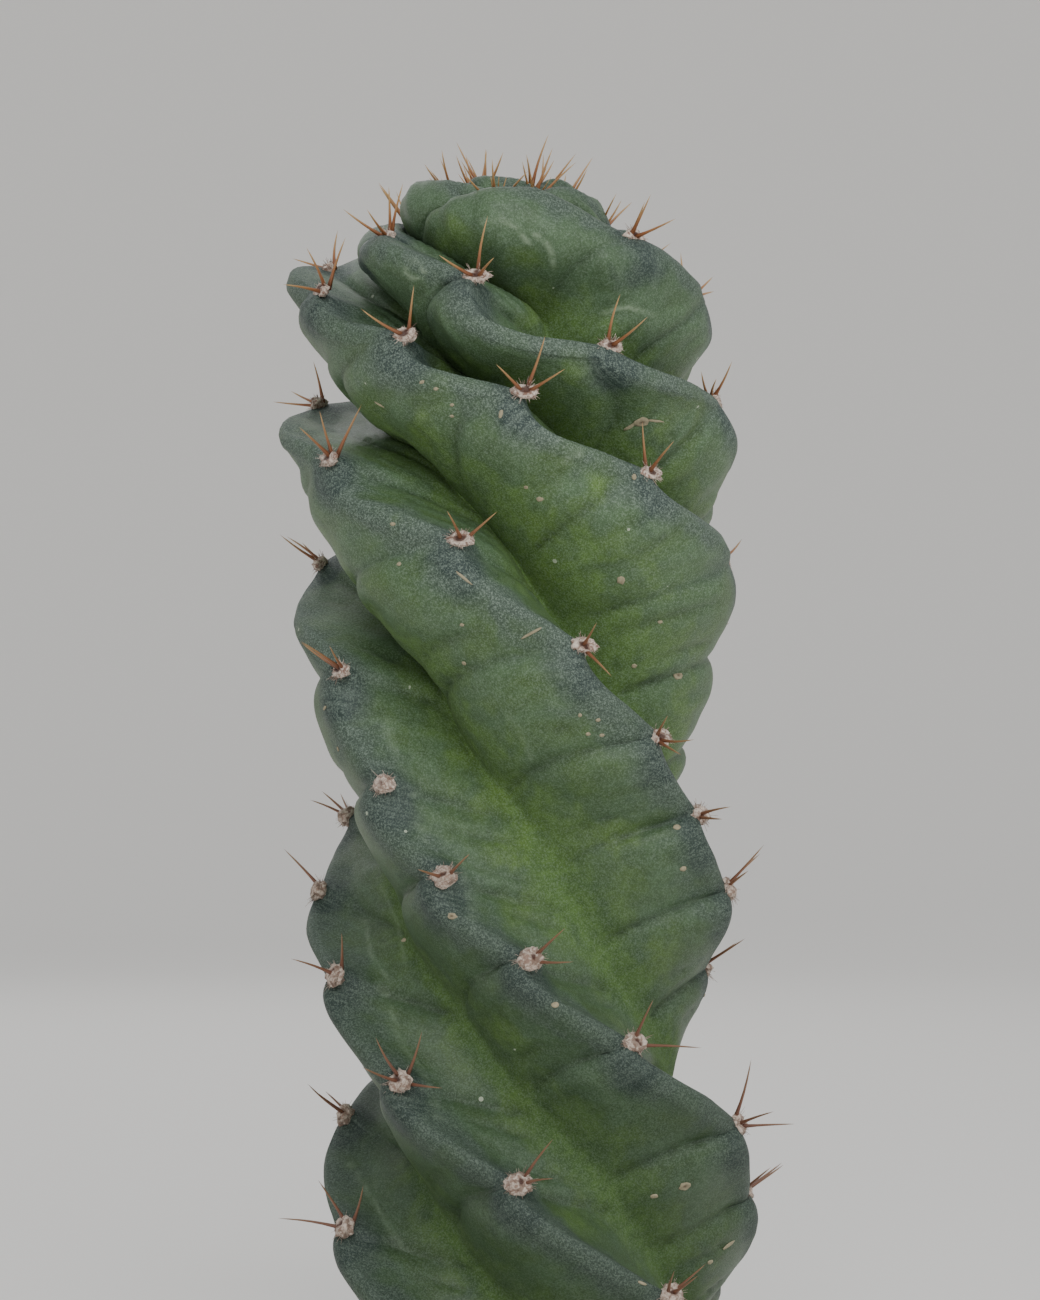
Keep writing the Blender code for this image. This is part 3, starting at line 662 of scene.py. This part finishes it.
# Cut foot. The stem was sliced across and dried for weeks: the wound closed with a thin corky callus,
# dished in between the ribs' edges, with the woody ring of vessels showing round the pith.
FOOT_RINGS = 26
# The callus lies this far above the ground at its rim and is hollowed by FOOT_HOLLOW in the middle, in mm.
FOOT_LIFT = 0.3
FOOT_HOLLOW = 1.6
# Its wrinkles, as size and height in mm.
FOOT_WRINKLES = ((7, 0.35), (2.5, 0.12))
# The ring of vessels: its place and width as shares of the way out, and its height in mm.
VESSEL_RING = 0.42
VESSEL_WIDTH = 0.05
VESSEL_HEIGHT = 0.7

foot_centre = sum(foot_outline, Vector()) / len(foot_outline)
foot_mesh = bmesh.new()
bmesh.ops.create_grid(foot_mesh, x_segments=len(foot_outline), y_segments=FOOT_RINGS, size=1)
foot_middle = foot_mesh.verts.layers.float.new("middle")
for vert in foot_mesh.verts:
    turn = round((vert.co.x / 2 + 0.5) * len(foot_outline)) % len(foot_outline)
    outward = vert.co.y / 2 + 0.5
    edge = foot_outline[turn]
    vert[foot_middle] = outward
    place = foot_centre.lerp(Vector((edge.x, edge.y, 0)), outward)
    wrinkle = sum(noise.noise(place / (size * MM)) * height for size, height in FOOT_WRINKLES)
    ring = math.exp(-((outward - VESSEL_RING) / VESSEL_WIDTH) ** 2) * VESSEL_HEIGHT
    hollow = FOOT_HOLLOW * (1 - outward ** 6) + (wrinkle - ring) * (1 - outward ** 4)
    vert.co = (place.x, place.y, (FOOT_LIFT + max(hollow, 0)) * MM)
bmesh.ops.remove_doubles(foot_mesh, verts=foot_mesh.verts[:], dist=1e-6)
bmesh.ops.recalc_face_normals(foot_mesh, faces=foot_mesh.faces[:])
if sum(face.normal.z * face.calc_area() for face in foot_mesh.faces) > 0:
    bmesh.ops.reverse_faces(foot_mesh, faces=foot_mesh.faces[:])
for face in foot_mesh.faces:
    face.smooth = True

# Callus cork: dead dried cells, dull and pale brown, darker and fibrous along the ring of vessels.
callus = bpy.data.materials.new("callus_cork")
callus.use_nodes = True
tree = callus.node_tree
surface = tree.nodes["Principled BSDF"]
spot = add_node(tree, "ShaderNodeTexCoord", {}, output="Object")
fibre = add_node(tree, "ShaderNodeTexNoise", {"Vector": spot, "Scale": 1 / (4 * MM), "Detail": 5.0,
                                              "Roughness": 0.65})
crumb = add_node(tree, "ShaderNodeTexNoise", {"Vector": spot, "Scale": 1 / (0.8 * MM), "Detail": 3.0})
middle = add_node(tree, "ShaderNodeAttribute", {}, output="Fac", attribute_name="middle")
ring_off = add_node(tree, "ShaderNodeMath", {0: middle, 1: VESSEL_RING}, operation="SUBTRACT")
ring_far = add_node(tree, "ShaderNodeMath", {0: ring_off}, operation="ABSOLUTE")
ring_near = add_node(tree, "ShaderNodeMapRange", {"Value": ring_far, "From Min": 0.07, "From Max": 0.0,
                                                  "To Max": 0.6})
callus_colour = srgb("#8C7350")
for amount, colour in ((fibre, "#CDB98E"), (ring_near, "#7A5F3B")):
    callus_colour = add_node(tree, "ShaderNodeMix", {"Factor": amount, 6: callus_colour, 7: srgb(colour)},
                             output=2, data_type="RGBA")
tree.links.new(callus_colour, surface.inputs["Base Color"])
surface.inputs["Roughness"].default_value = 0.9
callus_bump = add_node(tree, "ShaderNodeBump", {"Height": crumb, "Distance": 0.3 * MM, "Strength": 0.7})
tree.links.new(callus_bump, surface.inputs["Normal"])

cut_foot = add_piece("cut_foot", foot_mesh, callus)
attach(cut_foot, "root")
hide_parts("cactus_stem")

# Areoles. The small cushions of felted plant wool along each crest, from which the spines grow. A young one
# is an oval ring with a brown pit, an old one a ragged knob. Loose hairs stand out all round, and the root
# is sunk in the rib.
LOWEST_AREOLE = 7
AREOLE_RADIUS = 3.0
AREOLE_RISE = 1.4
# An areole faces outward and a little up, and more and more up over the crown.
AREOLE_LIFT = 0.35
CROWN_LIFT = 1.6
CROWN_RADIUS = 45
# Above this level an areole is still small.
YOUNG_LEVEL = 310
YOUNG_SIZE = 0.75
# The wool of an old areole stands up in a knob. It is fully so below the first level, and not yet above the
# second.
KNOB_LEVELS = (130, 190)
# Half the cushion's width and half its height as shares of its size, and how age changes them: it grows a
# little narrower and much taller, it rises further and its pit closes.
CUSHION_WIDTH = 1.15
CUSHION_HEIGHT = 0.62
OLD_NARROWING = 0.1
OLD_STRETCH = 0.3
OLD_RISE = 0.5
OLD_CLOSING = 0.75
# How far from the middle the spines come out, as a share of the size.
SPINES_APART = 0.38
# The cushion's raggedness, as shares and how fine they are, and how wide and deep its pits are.
WOOL_LUMPS = ((0.3, 1.5), (0.24, 4), (0.16, 9))
PIT_WIDTH = 0.5
SPINE_PIT_WIDTH = 0.24
PIT_DEPTH = 0.6
# The loose hairs of a cushion, their radius at the root and at the tip, and their shortest and longest, in
# mm.
HAIRS = 64
HAIR_ROOT = 0.11
HAIR_TIP = 0.03
HAIR_LENGTHS = (0.8, 2.4)
SPINE_LENGTH = 12.5
# The random draws of each piece start from a seed of their own, counted on from this one.
SEED = 4
# The spines on the front, for each rib and areole: how far the tip reaches to the right and up, in mm. The
# others are drawn by chance, three to an areole, as how far each leans to the side.
SPINE_LEANS = (-0.8, 0.1, 0.9)
SPINES = {
    (0, 3): ((-15, 2.2), (-5.2, 11.7), (6, 10.5)),
    (0, 11): ((3.5, 5),),
    (0, 12): ((-3, 12), (4.5, 7)),
    (0, 13): ((4.8, 12.8), (-7, 5.5), (9.5, 4.5)),
    (0, 14): ((3, 11.2), (-9.8, 5.5)),
    (0, 15): ((-7.8, 0.3), (-2.2, 9.5), (7.2, 12.5)),
    (0, 16): ((3.2, 10.2), (-8.5, 3.2), (-8.2, 0.3)),
    (1, 3): ((8.5, 10.8), (8.5, 2)),
    (1, 4): ((-5, 10.8), (-8, 3.8), (6.2, 12), (11.2, -1.5)),
    (1, 5): ((-9.5, 4.2), (3, 10.5)),
    (1, 6): ((-8, 10.2),),
    (1, 13): ((-1.8, 4.2), (2.2, 8.8), (-5.5, 6.2)),
    (1, 14): ((1.8, 12.2), (8.2, 6.2)),
    (1, 15): ((3.2, 13.8), (-8.5, 3.8), (4.8, 3)),
    (1, 16): ((-9.2, 6), (-3.2, 5.5), (5.5, 12.8), (2, 11.8)),
    (2, 4): ((2, 16), (7.2, 3.8), (12.8, 0)),
    (2, 5): ((3.8, 10.8), (15.5, -1.2)),
    (2, 6): ((8.5, 7.5), (10.5, -0.5)),
    (2, 7): ((-5.5, 1.8), (7, 5.5)),
    (2, 8): (),
    (2, 15): ((3.5, 5.5), (3.8, 1.8), (-5, 11)),
    (2, 16): ((3, 9), (1.5, 7), (9, 3)),
    (2, 17): ((-1.2, 9), (-8, 5.5), (7.5, 6)),
    (2, 18): ((-5.8, 5.8), (-1.5, 9.5)),
    (3, 8): ((6, 1.8), (4, -1.2)),
    (3, 9): ((0.8, 5), (7.2, -0.8), (4, -4.5)),
    (3, 10): ((2.5, 5), (6.2, -8)),
    (3, 11): ((-2.8, 6.2), (9.2, 6.2)),
    (3, 12): ((-5.8, 6.8), (-1, 11), (9.2, 12.8)),
    (3, 13): ((-0.5, 11), (-6.5, 3.5), (-11, 0.5)),
}


def spine_reaches(rib, number, outward, chance):
    """How the spines of one areole reach out from it."""
    if (rib, number) in SPINES:
        reaches = []
        for right, up in SPINES[rib, number]:
            depth = math.sqrt(max(SPINE_LENGTH ** 2 - right ** 2 - up ** 2, 4.0))
            reaches.append(Vector((right, math.copysign(depth, outward.y), up)))
        return reaches
    side = Vector((-outward.y, outward.x, 0)).normalized()
    upward = outward.cross(side).normalized()
    if upward.z < 0:
        upward = -upward
    reaches = []
    for lean in SPINE_LEANS:
        length = SPINE_LENGTH * chance.uniform(0.7, 1.1)
        way = outward + side * (lean + chance.uniform(-0.2, 0.2)) + upward * chance.uniform(0.2, 0.8)
        reaches.append(way.normalized() * length)
    return reaches


chance = random.Random(SEED)
areoles = []
for rib_number, course in enumerate(RIBS):
    for number, (areole_level, azimuth, reach) in enumerate(course[:-1]):
        if areole_level < LOWEST_AREOLE:
            continue
        place = Vector(stem_points(np.array(float(rib_number)), np.array(float(areole_level)))[0].tolist())
        radius = float(smooth_curve(column(CREST, 1), areole_level))
        lift = AREOLE_LIFT + CROWN_LIFT * max(0.0, 1 - radius / CROWN_RADIUS)
        turn = math.radians(azimuth)
        outward = Vector((math.sin(turn), -math.cos(turn), lift)).normalized()
        reaches = spine_reaches(rib_number, number, outward, chance)
        areoles.append((rib_number, number, areole_level, place, outward, reaches))

wool_chance = random.Random(SEED + 1)
wool_mesh = bmesh.new()
wool_mesh.verts.layers.float.new("pit")
wool_mesh.verts.layers.float.new("old")
for rib_number, number, areole_level, place, outward, reaches in areoles:
    cushion = bmesh.new()
    pit_layer = cushion.verts.layers.float.new("pit")
    old_layer = cushion.verts.layers.float.new("old")
    size = AREOLE_RADIUS * (1 if areole_level < YOUNG_LEVEL else YOUNG_SIZE)
    old = float(1 - ramp(areole_level, *KNOB_LEVELS))
    side = Vector((-outward.y, outward.x, 0)).normalized()
    upward = outward.cross(side).normalized()
    turned = Matrix((side, upward, outward)).transposed()
    roots = []
    for way in reaches:
        flat = turned.transposed() @ way.normalized()
        roots.append(Vector((flat.x, flat.y)) * size * SPINES_APART)
    dome = bmesh.ops.create_icosphere(cushion, subdivisions=3, radius=1)["verts"]
    shift = Vector((rib_number * 31.7, number * 13.9, 0))
    for vert in dome:
        unit = vert.co.copy()
        ragged = 1
        for share, fineness in WOOL_LUMPS:
            ragged += share * noise.noise(unit * fineness + shift)
        wide = size * (CUSHION_WIDTH - OLD_NARROWING * old)
        tall = size * (CUSHION_HEIGHT + OLD_STRETCH * old)
        risen = unit.z * AREOLE_RISE * (1 + OLD_RISE * old)
        local = Vector((unit.x * wide, unit.y * tall, risen)) * ragged
        from_middle = math.hypot(unit.x, unit.y)
        pitted = math.exp(-(from_middle / PIT_WIDTH) ** 2) * (1 - OLD_CLOSING * old)
        for root in roots:
            from_root = (Vector((local.x, local.y)) - root).length
            pitted = max(pitted, math.exp(-(from_root / (size * SPINE_PIT_WIDTH)) ** 2))
        if unit.z > 0:
            local.z -= pitted * AREOLE_RISE * PIT_DEPTH
            vert[pit_layer] = pitted
        vert[old_layer] = old
        vert.co = (place + turned @ local) * MM
    for hair in range(HAIRS):
        angle = wool_chance.uniform(0, 2 * math.pi)
        rim_place = Vector((math.cos(angle) * size, math.sin(angle) * size * 0.7, 0.3))
        rim_place = rim_place * wool_chance.uniform(0.4, 1.05)
        lean = Vector((math.cos(angle) * 1.3, math.sin(angle) * 1.3 - 0.3, wool_chance.uniform(-0.2, 1.3)))
        hair_length = wool_chance.uniform(*HAIR_LENGTHS) * wool_chance.uniform(0.6, 1 + 0.6 * old)
        start = place + turned @ rim_place
        way = turned @ lean.normalized()
        spun = way.to_track_quat("Z", "Y").to_matrix().to_4x4()
        middle_place = Matrix.Translation((start + way * hair_length * 0.45) * MM)
        strand = bmesh.ops.create_cone(cushion, cap_ends=True, segments=3, radius1=HAIR_ROOT * MM,
                                       radius2=HAIR_TIP * MM, depth=hair_length * MM,
                                       matrix=middle_place @ spun)
        for vert in strand["verts"]:
            vert[old_layer] = old
    tuft_data = bpy.data.meshes.new("cushion")
    cushion.to_mesh(tuft_data)
    cushion.free()
    wool_mesh.from_mesh(tuft_data)
    bpy.data.meshes.remove(tuft_data)
for face in wool_mesh.faces:
    face.smooth = True

# Areole felt: dense dead plant hair, fully matt, cream with a pinkish cast, matted with brown where the
# spines come out. Old felt has caught dust and is greyer and more broken.
felt = bpy.data.materials.new("areole_felt")
felt.use_nodes = True
tree = felt.node_tree
surface = tree.nodes["Principled BSDF"]
spot = add_node(tree, "ShaderNodeTexCoord", {}, output="Object")
pit, old_felt = [add_node(tree, "ShaderNodeAttribute", {}, output="Fac", attribute_name=name)
                 for name in ("pit", "old")]
tuft = add_node(tree, "ShaderNodeTexNoise", {"Vector": spot, "Scale": 1 / (1.1 * MM), "Detail": 3.0,
                                             "Roughness": 0.7, "Distortion": 0.8})
speck = add_node(tree, "ShaderNodeTexNoise", {"Vector": spot, "Scale": 1 / (1.7 * MM), "Detail": 2.0})
brown_edge = add_node(tree, "ShaderNodeMath", {0: tuft, 1: 0.5, 2: pit}, operation="MULTIPLY_ADD")
steps = []
for value, start, end, low, high in ((tuft, 0.36, 0.62, 0.0, 1.0), (speck, 0.5, 0.62, 0.0, 1.0),
                                     (old_felt, 0.0, 1.0, 0.25, 0.8), (brown_edge, 0.55, 1.0, 0.0, 1.0)):
    steps.append(add_node(tree, "ShaderNodeMapRange", {"Value": value, "From Min": start, "From Max": end,
                                                       "To Min": low, "To Max": high},
                          interpolation_type="SMOOTHSTEP"))
combed, gritty, grit_share, matted = steps
wool = srgb("#8A6C5E")
for amount, share, colour in ((combed, 1.0, "#E4D5C6"), (gritty, grit_share, "#6B4D3D"),
                              (old_felt, 0.3, "#A08F80"), (matted, 0.92, "#45241A")):
    cover = add_node(tree, "ShaderNodeMath", {0: amount, 1: share}, operation="MULTIPLY", use_clamp=True)
    wool = add_node(tree, "ShaderNodeMix", {"Factor": cover, 6: wool, 7: srgb(colour)}, output=2,
                    data_type="RGBA")
tree.links.new(wool, surface.inputs["Base Color"])
surface.inputs["Roughness"].default_value = 1.0
surface.inputs["Sheen Weight"].default_value = 0.1
felt_bump = add_node(tree, "ShaderNodeBump", {"Height": tuft, "Distance": 0.6 * MM, "Strength": 1.0})
tree.links.new(felt_bump, surface.inputs["Normal"])

areole_wool = add_piece("areole_wool", wool_mesh, felt)
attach(areole_wool, "root")
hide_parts("cactus_stem")

# Spines. Stiff woody needles that stand in the wool, each with a thick base and a slight bend.
SPINE_RADIUS = 0.5
SPINE_SIDES = 6
SPINE_RINGS = 7
# A spine's tip and the swelling of its base as shares of its radius, how long that base is as a share of its
# length, and how full the taper is.
SPINE_TIP = 0.12
BASE_SWELLING = 0.45
BASE_LENGTH = 0.3
SPINE_TAPER = 0.8
# The first ring lies close to the closed base: it is moved back by this share of a step.
FIRST_RING = 0.8
# How deep a spine is rooted, how far its root has shifted towards its tip, in mm, and the least and the most
# that it bends, as shares of its length.
ROOT_DEPTH = 1.5
ROOT_SHIFT = 0.6
BEND_SHARES = (0.01, 0.05)
# The youngest areoles have short thin spines as well, of these lengths in mm.
YOUNG_SPINES = 4
YOUNG_THICKNESS = 0.7
YOUNG_LENGTHS = (4, 8.5)

spine_mesh = bmesh.new()
spine_along = spine_mesh.verts.layers.float.new("along")
spine_age = spine_mesh.verts.layers.float.new("age")
spine_chance = random.Random(SEED + 2)
for rib_number, number, areole_level, place, outward, reaches in areoles:
    ways = [(way, 1.0) for way in reaches]
    if areole_level > YOUNG_LEVEL:
        for spine in range(YOUNG_SPINES):
            scatter = Vector([spine_chance.uniform(-0.8, 0.8) for axis in range(3)])
            young_way = (outward + scatter).normalized() * spine_chance.uniform(*YOUNG_LENGTHS)
            ways.append((young_way, YOUNG_THICKNESS))
    for way, thickness in ways:
        tip = place + outward * AREOLE_RISE + way
        root = place - outward * ROOT_DEPTH + way.normalized() * ROOT_SHIFT
        line_way = (tip - root).normalized()
        aside = Vector((spine_chance.uniform(-1, 1), spine_chance.uniform(-1, 1), 0.4))
        bend_way = line_way.cross(aside).normalized()
        bend = way.length * spine_chance.uniform(*BEND_SHARES)
        spun = line_way.to_track_quat("Z", "Y").to_matrix()
        tube = bmesh.ops.create_grid(spine_mesh, x_segments=SPINE_SIDES, y_segments=SPINE_RINGS, size=1)
        for vert in tube["verts"]:
            turn = round((vert.co.x / 2 + 0.5) * SPINE_SIDES) * 2 * math.pi / SPINE_SIDES
            step = round((vert.co.y / 2 + 0.5) * SPINE_RINGS)
            along = max(step - FIRST_RING, 0) / (SPINE_RINGS - FIRST_RING)
            taper = SPINE_TIP + (1 - SPINE_TIP) * (1 - along) ** SPINE_TAPER
            swelling = BASE_SWELLING * max(0, BASE_LENGTH - along) / BASE_LENGTH
            radius = SPINE_RADIUS * thickness * (taper + swelling)
            if step in (0, SPINE_RINGS):
                radius = 0
            middle_line = root.lerp(tip, along) + bend_way * bend * math.sin(math.pi * along)
            ring_place = spun @ Vector((math.cos(turn) * radius, math.sin(turn) * radius, 0))
            vert[spine_along] = along
            vert[spine_age] = areole_level / TOP_LEVEL
            vert.co = (middle_line + ring_place) * MM
        bmesh.ops.remove_doubles(spine_mesh, verts=tube["verts"], dist=1e-7)
bmesh.ops.recalc_face_normals(spine_mesh, faces=spine_mesh.faces[:])
for face in spine_mesh.faces:
    face.smooth = True

# Spine sclerenchyma: hard dead wood fibre with a dull gloss, red-brown at the base and orange-brown to
# straw at the tip. It weathers to a dull dark red-brown, so the lowest and oldest spines are the darkest.
needle = bpy.data.materials.new("spine_wood")
needle.use_nodes = True
tree = needle.node_tree
surface = tree.nodes["Principled BSDF"]
spot = add_node(tree, "ShaderNodeTexCoord", {}, output="Object")
along_spine, age = [add_node(tree, "ShaderNodeAttribute", {}, output="Fac", attribute_name=name)
                    for name in ("along", "age")]
banding = add_node(tree, "ShaderNodeTexNoise", {"Vector": spot, "Scale": 1 / (3 * MM), "Detail": 2.0})
banded = add_node(tree, "ShaderNodeMath", {0: banding, 1: 0.3, 2: along_spine}, operation="MULTIPLY_ADD")
needle_colour = add_node(tree, "ShaderNodeValToRGB", {"Fac": banded})
stops = needle_colour.node.color_ramp.elements
stops.new(0.5)
for stop, (position, colour) in zip(stops, ((0.12, "#5A2F20"), (0.5, "#95603A"), (1.0, "#BA9663"))):
    stop.position = position
    stop.color = srgb(colour)
weathering = add_node(tree, "ShaderNodeMapRange", {"Value": age, "From Min": 0.85, "From Max": 0.3,
                                                   "To Max": 0.75})
aged = add_node(tree, "ShaderNodeMix", {"Factor": weathering, 6: needle_colour, 7: srgb("#604036")},
                output=2, data_type="RGBA")
tree.links.new(aged, surface.inputs["Base Color"])
surface.inputs["Roughness"].default_value = 0.45

spines = add_piece("spines", spine_mesh, needle)
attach(spines, "root")
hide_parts("cactus_stem")

# Scars. Where insects, hail or a neighbour's spines broke the skin it healed with a thin button of cork.
# On the front they lie where the photograph shows them, as right, height, length, width (mm), turn
# (degrees) and whether the middle is dark.
SCARS = (
    (30.5, 249.5, 4.2, 2.6, 10, 1), (27.6, 248.4, 4.4, 0.9, 35, 0), (33.6, 249.8, 4.6, 0.7, -5, 0),
    (-4.8, 251.5, 1.1, 2.2, -15, 0), (-21, 257.8, 1.2, 0.9, 0, 0), (-24.5, 259.5, 1.3, 0.9, 20, 0),
    (-17, 253.8, 1.2, 0.9, 0, 0), (-17, 251, 1.0, 0.8, 0, 0), (-35, 253.8, 3.5, 0.6, -35, 0),
    (5, 230.2, 2.0, 1.3, 0, 0), (1.5, 233.2, 1.1, 1.1, 0, 0), (25.2, 210, 2.0, 2.3, 20, 0),
    (-14, 210.5, 5.2, 0.7, -40, 0), (-31.8, 224, 1.4, 1.0, 0, 0), (28.5, 235.8, 1.4, 1.6, 0, 0),
    (35, 199.5, 1.3, 0.9, 0, 0), (39.5, 186.2, 3.0, 2.4, 10, 1), (28.5, 188.5, 1.6, 1.2, 0, 0),
    (3, 196.8, 6.0, 0.7, 30, 0), (-14.5, 198.8, 1.2, 0.9, 0, 0), (-14, 189.2, 1.2, 1.2, 0, 0),
    (17, 171.5, 1.3, 1.0, 0, 0), (20.5, 171.2, 1.3, 1.0, 0, 0), (19.5, 175, 1.2, 1.0, 0, 0),
    (15, 176.2, 1.0, 1.0, 0, 0), (-48.8, 178, 2.6, 0.9, 20, 0), (-45.5, 167.8, 1.6, 1.0, 45, 0),
    (40.8, 137.8, 2.0, 1.4, 0, 0), (39.2, 148.2, 1.8, 1.4, 0, 0), (-30.2, 214, 1.4, 1.0, 0, 0),
    (-17, 126, 2.4, 1.5, 0, 1), (8.8, 103.8, 2.0, 1.4, 0, 0), (-29, 120, 1.8, 1.2, 0, 0),
    (41.2, 58.5, 3.2, 2.4, 10, 1), (33.5, 56, 2.0, 1.4, 0, 0), (52.2, 43.8, 5.0, 1.2, 25, 0),
    (47.5, 39.5, 1.8, 1.3, 0, 0), (52.8, 34.8, 1.6, 1.2, 0, 0), (30.5, 34.2, 3.0, 0.8, -20, 0),
)
# On the back they lie by chance, as how many, and between which turns (degrees), heights and lengths (mm).
BACK_SCARS = 34
BACK_TURNS = (75, 285)
BACK_HEIGHTS = (12, 270)
BACK_LENGTHS = (1.0, 2.6)
# A button's edge is uneven by the share RAGGED_EDGE. Its middle lies SCAR_REST above the skin, it reaches
# SCAR_RISE up and down from there, and a dark middle dips by SCAR_DIP, in mm. The dip and the dark reach
# these shares of the way to the edge.
RAGGED_EDGE = 0.32
SCAR_REST = 0.05
SCAR_RISE = 0.22
SCAR_DIP = 0.16
DIP_WIDTH = 0.6
DARK_WIDTH = 0.65


def add_scar(mesh, layer, place, normal, length, width, turn, dark, seed):
    """Add one button of cork that lies on the skin, with a ragged edge."""
    side = normal.cross(Vector((0, 0, 1))).normalized() * -1
    upward = normal.cross(side).normalized()
    if upward.z < 0:
        upward = -upward
    long_way = side * math.cos(turn) + upward * math.sin(turn)
    wide_way = normal.cross(long_way)
    for vert in bmesh.ops.create_icosphere(mesh, subdivisions=2, radius=1)["verts"]:
        unit = vert.co.copy()
        ragged = 1 + RAGGED_EDGE * noise.noise(unit * 1.6 + Vector((seed, 0, 0)))
        flat = long_way * unit.x * length / 2 * ragged + wide_way * unit.y * width / 2 * ragged
        from_middle = math.hypot(unit.x, unit.y)
        dip = SCAR_DIP * dark * max(0.0, 1 - from_middle / DIP_WIDTH)
        vert[layer] = dark * max(0.0, 1 - from_middle / DARK_WIDTH)
        vert.co = place + (flat + normal * (SCAR_REST + unit.z * SCAR_RISE - dip)) * MM


scar_mesh = bmesh.new()
scar_dark = scar_mesh.verts.layers.float.new("dark")
eye = Vector((0, -CAMERA_DISTANCE, CAMERA_HEIGHT))
for seed, (right, height, length, width, turn, dark) in enumerate(SCARS):
    way = Vector((right * MM, 0, height * MM)) - eye
    place, normal, face, distance = skin_tree.ray_cast(eye, way.normalized())
    if place:
        add_scar(scar_mesh, scar_dark, place, normal, length, width, math.radians(turn), dark, seed)
scar_chance = random.Random(SEED + 3)
for seed in range(BACK_SCARS):
    turn = math.radians(scar_chance.uniform(*BACK_TURNS))
    height = scar_chance.uniform(*BACK_HEIGHTS)
    start = Vector((math.sin(turn) * 0.2, -math.cos(turn) * 0.2, height * MM))
    place, normal, face, distance = skin_tree.ray_cast(start, Vector((-start.x, -start.y, 0)).normalized())
    length = scar_chance.uniform(*BACK_LENGTHS)
    add_scar(scar_mesh, scar_dark, place, normal, length, length * scar_chance.uniform(0.4, 0.9),
             scar_chance.uniform(0, math.pi), float(scar_chance.random() < 0.2), seed + 100)
bmesh.ops.recalc_face_normals(scar_mesh, faces=scar_mesh.faces[:])
for face in scar_mesh.faces:
    face.smooth = True

# Scar cork: the plant's own bark tissue, dull beige and crumbly, dark where the wound went deepest.
scar_cork = bpy.data.materials.new("scar_cork")
scar_cork.use_nodes = True
tree = scar_cork.node_tree
surface = tree.nodes["Principled BSDF"]
spot = add_node(tree, "ShaderNodeTexCoord", {}, output="Object")
crust = add_node(tree, "ShaderNodeTexNoise", {"Vector": spot, "Scale": 1 / (1.2 * MM), "Detail": 4.0,
                                              "Roughness": 0.7})
dark_middle = add_node(tree, "ShaderNodeAttribute", {}, output="Fac", attribute_name="dark")
scar_colour = srgb("#6F6650")
for amount, colour in ((crust, "#BDB394"), (dark_middle, "#4A3A2A")):
    scar_colour = add_node(tree, "ShaderNodeMix", {"Factor": amount, 6: scar_colour, 7: srgb(colour)},
                           output=2, data_type="RGBA")
tree.links.new(scar_colour, surface.inputs["Base Color"])
surface.inputs["Roughness"].default_value = 0.85
crust_bump = add_node(tree, "ShaderNodeBump", {"Height": crust, "Distance": 0.3 * MM, "Strength": 0.7})
tree.links.new(crust_bump, surface.inputs["Normal"])

scars = add_piece("corky_scars", scar_mesh, scar_cork)
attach(scars, "root")
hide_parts("cactus_stem")

# Floor. Plain pale studio paper, which curves up all round, so that no horizon shows from any side.
FLOOR_FLAT = 1.7
FLOOR_CURVE = 1.1
FLOOR_SIDES = 96
FLOOR_STEPS = 16
floor_mesh = bmesh.new()
bmesh.ops.create_circle(floor_mesh, cap_ends=True, segments=FLOOR_SIDES, radius=FLOOR_FLAT)
for step in range(FLOOR_STEPS):
    rim = [edge for edge in floor_mesh.edges if edge.is_boundary]
    risen = bmesh.ops.extrude_edge_only(floor_mesh, edges=rim)["geom"]
    angle = math.pi / 2 * (step + 1) / FLOOR_STEPS
    radius = FLOOR_FLAT + FLOOR_CURVE * math.sin(angle)
    for vert in risen:
        if isinstance(vert, bmesh.types.BMVert):
            flat = Vector((vert.co.x, vert.co.y, 0)).normalized() * radius
            vert.co = (flat.x, flat.y, FLOOR_CURVE * (1 - math.cos(angle)))
bmesh.ops.recalc_face_normals(floor_mesh, faces=floor_mesh.faces[:])
for face in floor_mesh.faces:
    face.smooth = True

# Backdrop paper: matt, warm white, with no pattern of its own.
paper = bpy.data.materials.new("backdrop_paper")
paper.use_nodes = True
surface = paper.node_tree.nodes["Principled BSDF"]
surface.inputs["Base Color"].default_value = srgb("#EFEDE9")
surface.inputs["Roughness"].default_value = 0.9
floor = add_piece("floor", floor_mesh, paper)

# Light. A strong soft box high in front of the stem, a weak one lower in front, one from the right, a faint
# one overhead and one behind, as name, place, size and power, with pale air all round. All face the middle
# of the stem.
LAMPS = (("key", (0.1, -1.1, 1.1), 0.75, 7.8), ("front", (0.0, -1.35, 0.6), 0.7, 1.9),
         ("right", (1.1, -0.6, 0.75), 0.8, 3.6), ("top", (0.1, 0.3, 1.5), 1.0, 0.5),
         ("back", (-0.3, 1.3, 0.9), 1.0, 2.6))
LIT_PLACE = Vector((0, 0, 0.17))
for name, place, size, power in LAMPS:
    lamp = bpy.data.lights.new(name, "AREA")
    lamp.size = size
    lamp.energy = power
    light = bpy.data.objects.new(name, lamp)
    light.location = place
    light.rotation_euler = (LIT_PLACE - Vector(place)).to_track_quat("-Z", "Y").to_euler()
    light.visible_camera = False
    scene.collection.objects.link(light)
world = bpy.data.worlds.new("studio")
world.use_nodes = True
air = world.node_tree.nodes["Background"]
air.inputs["Color"].default_value = srgb("#EDEEF0")
air.inputs["Strength"].default_value = 0.76
scene.world = world
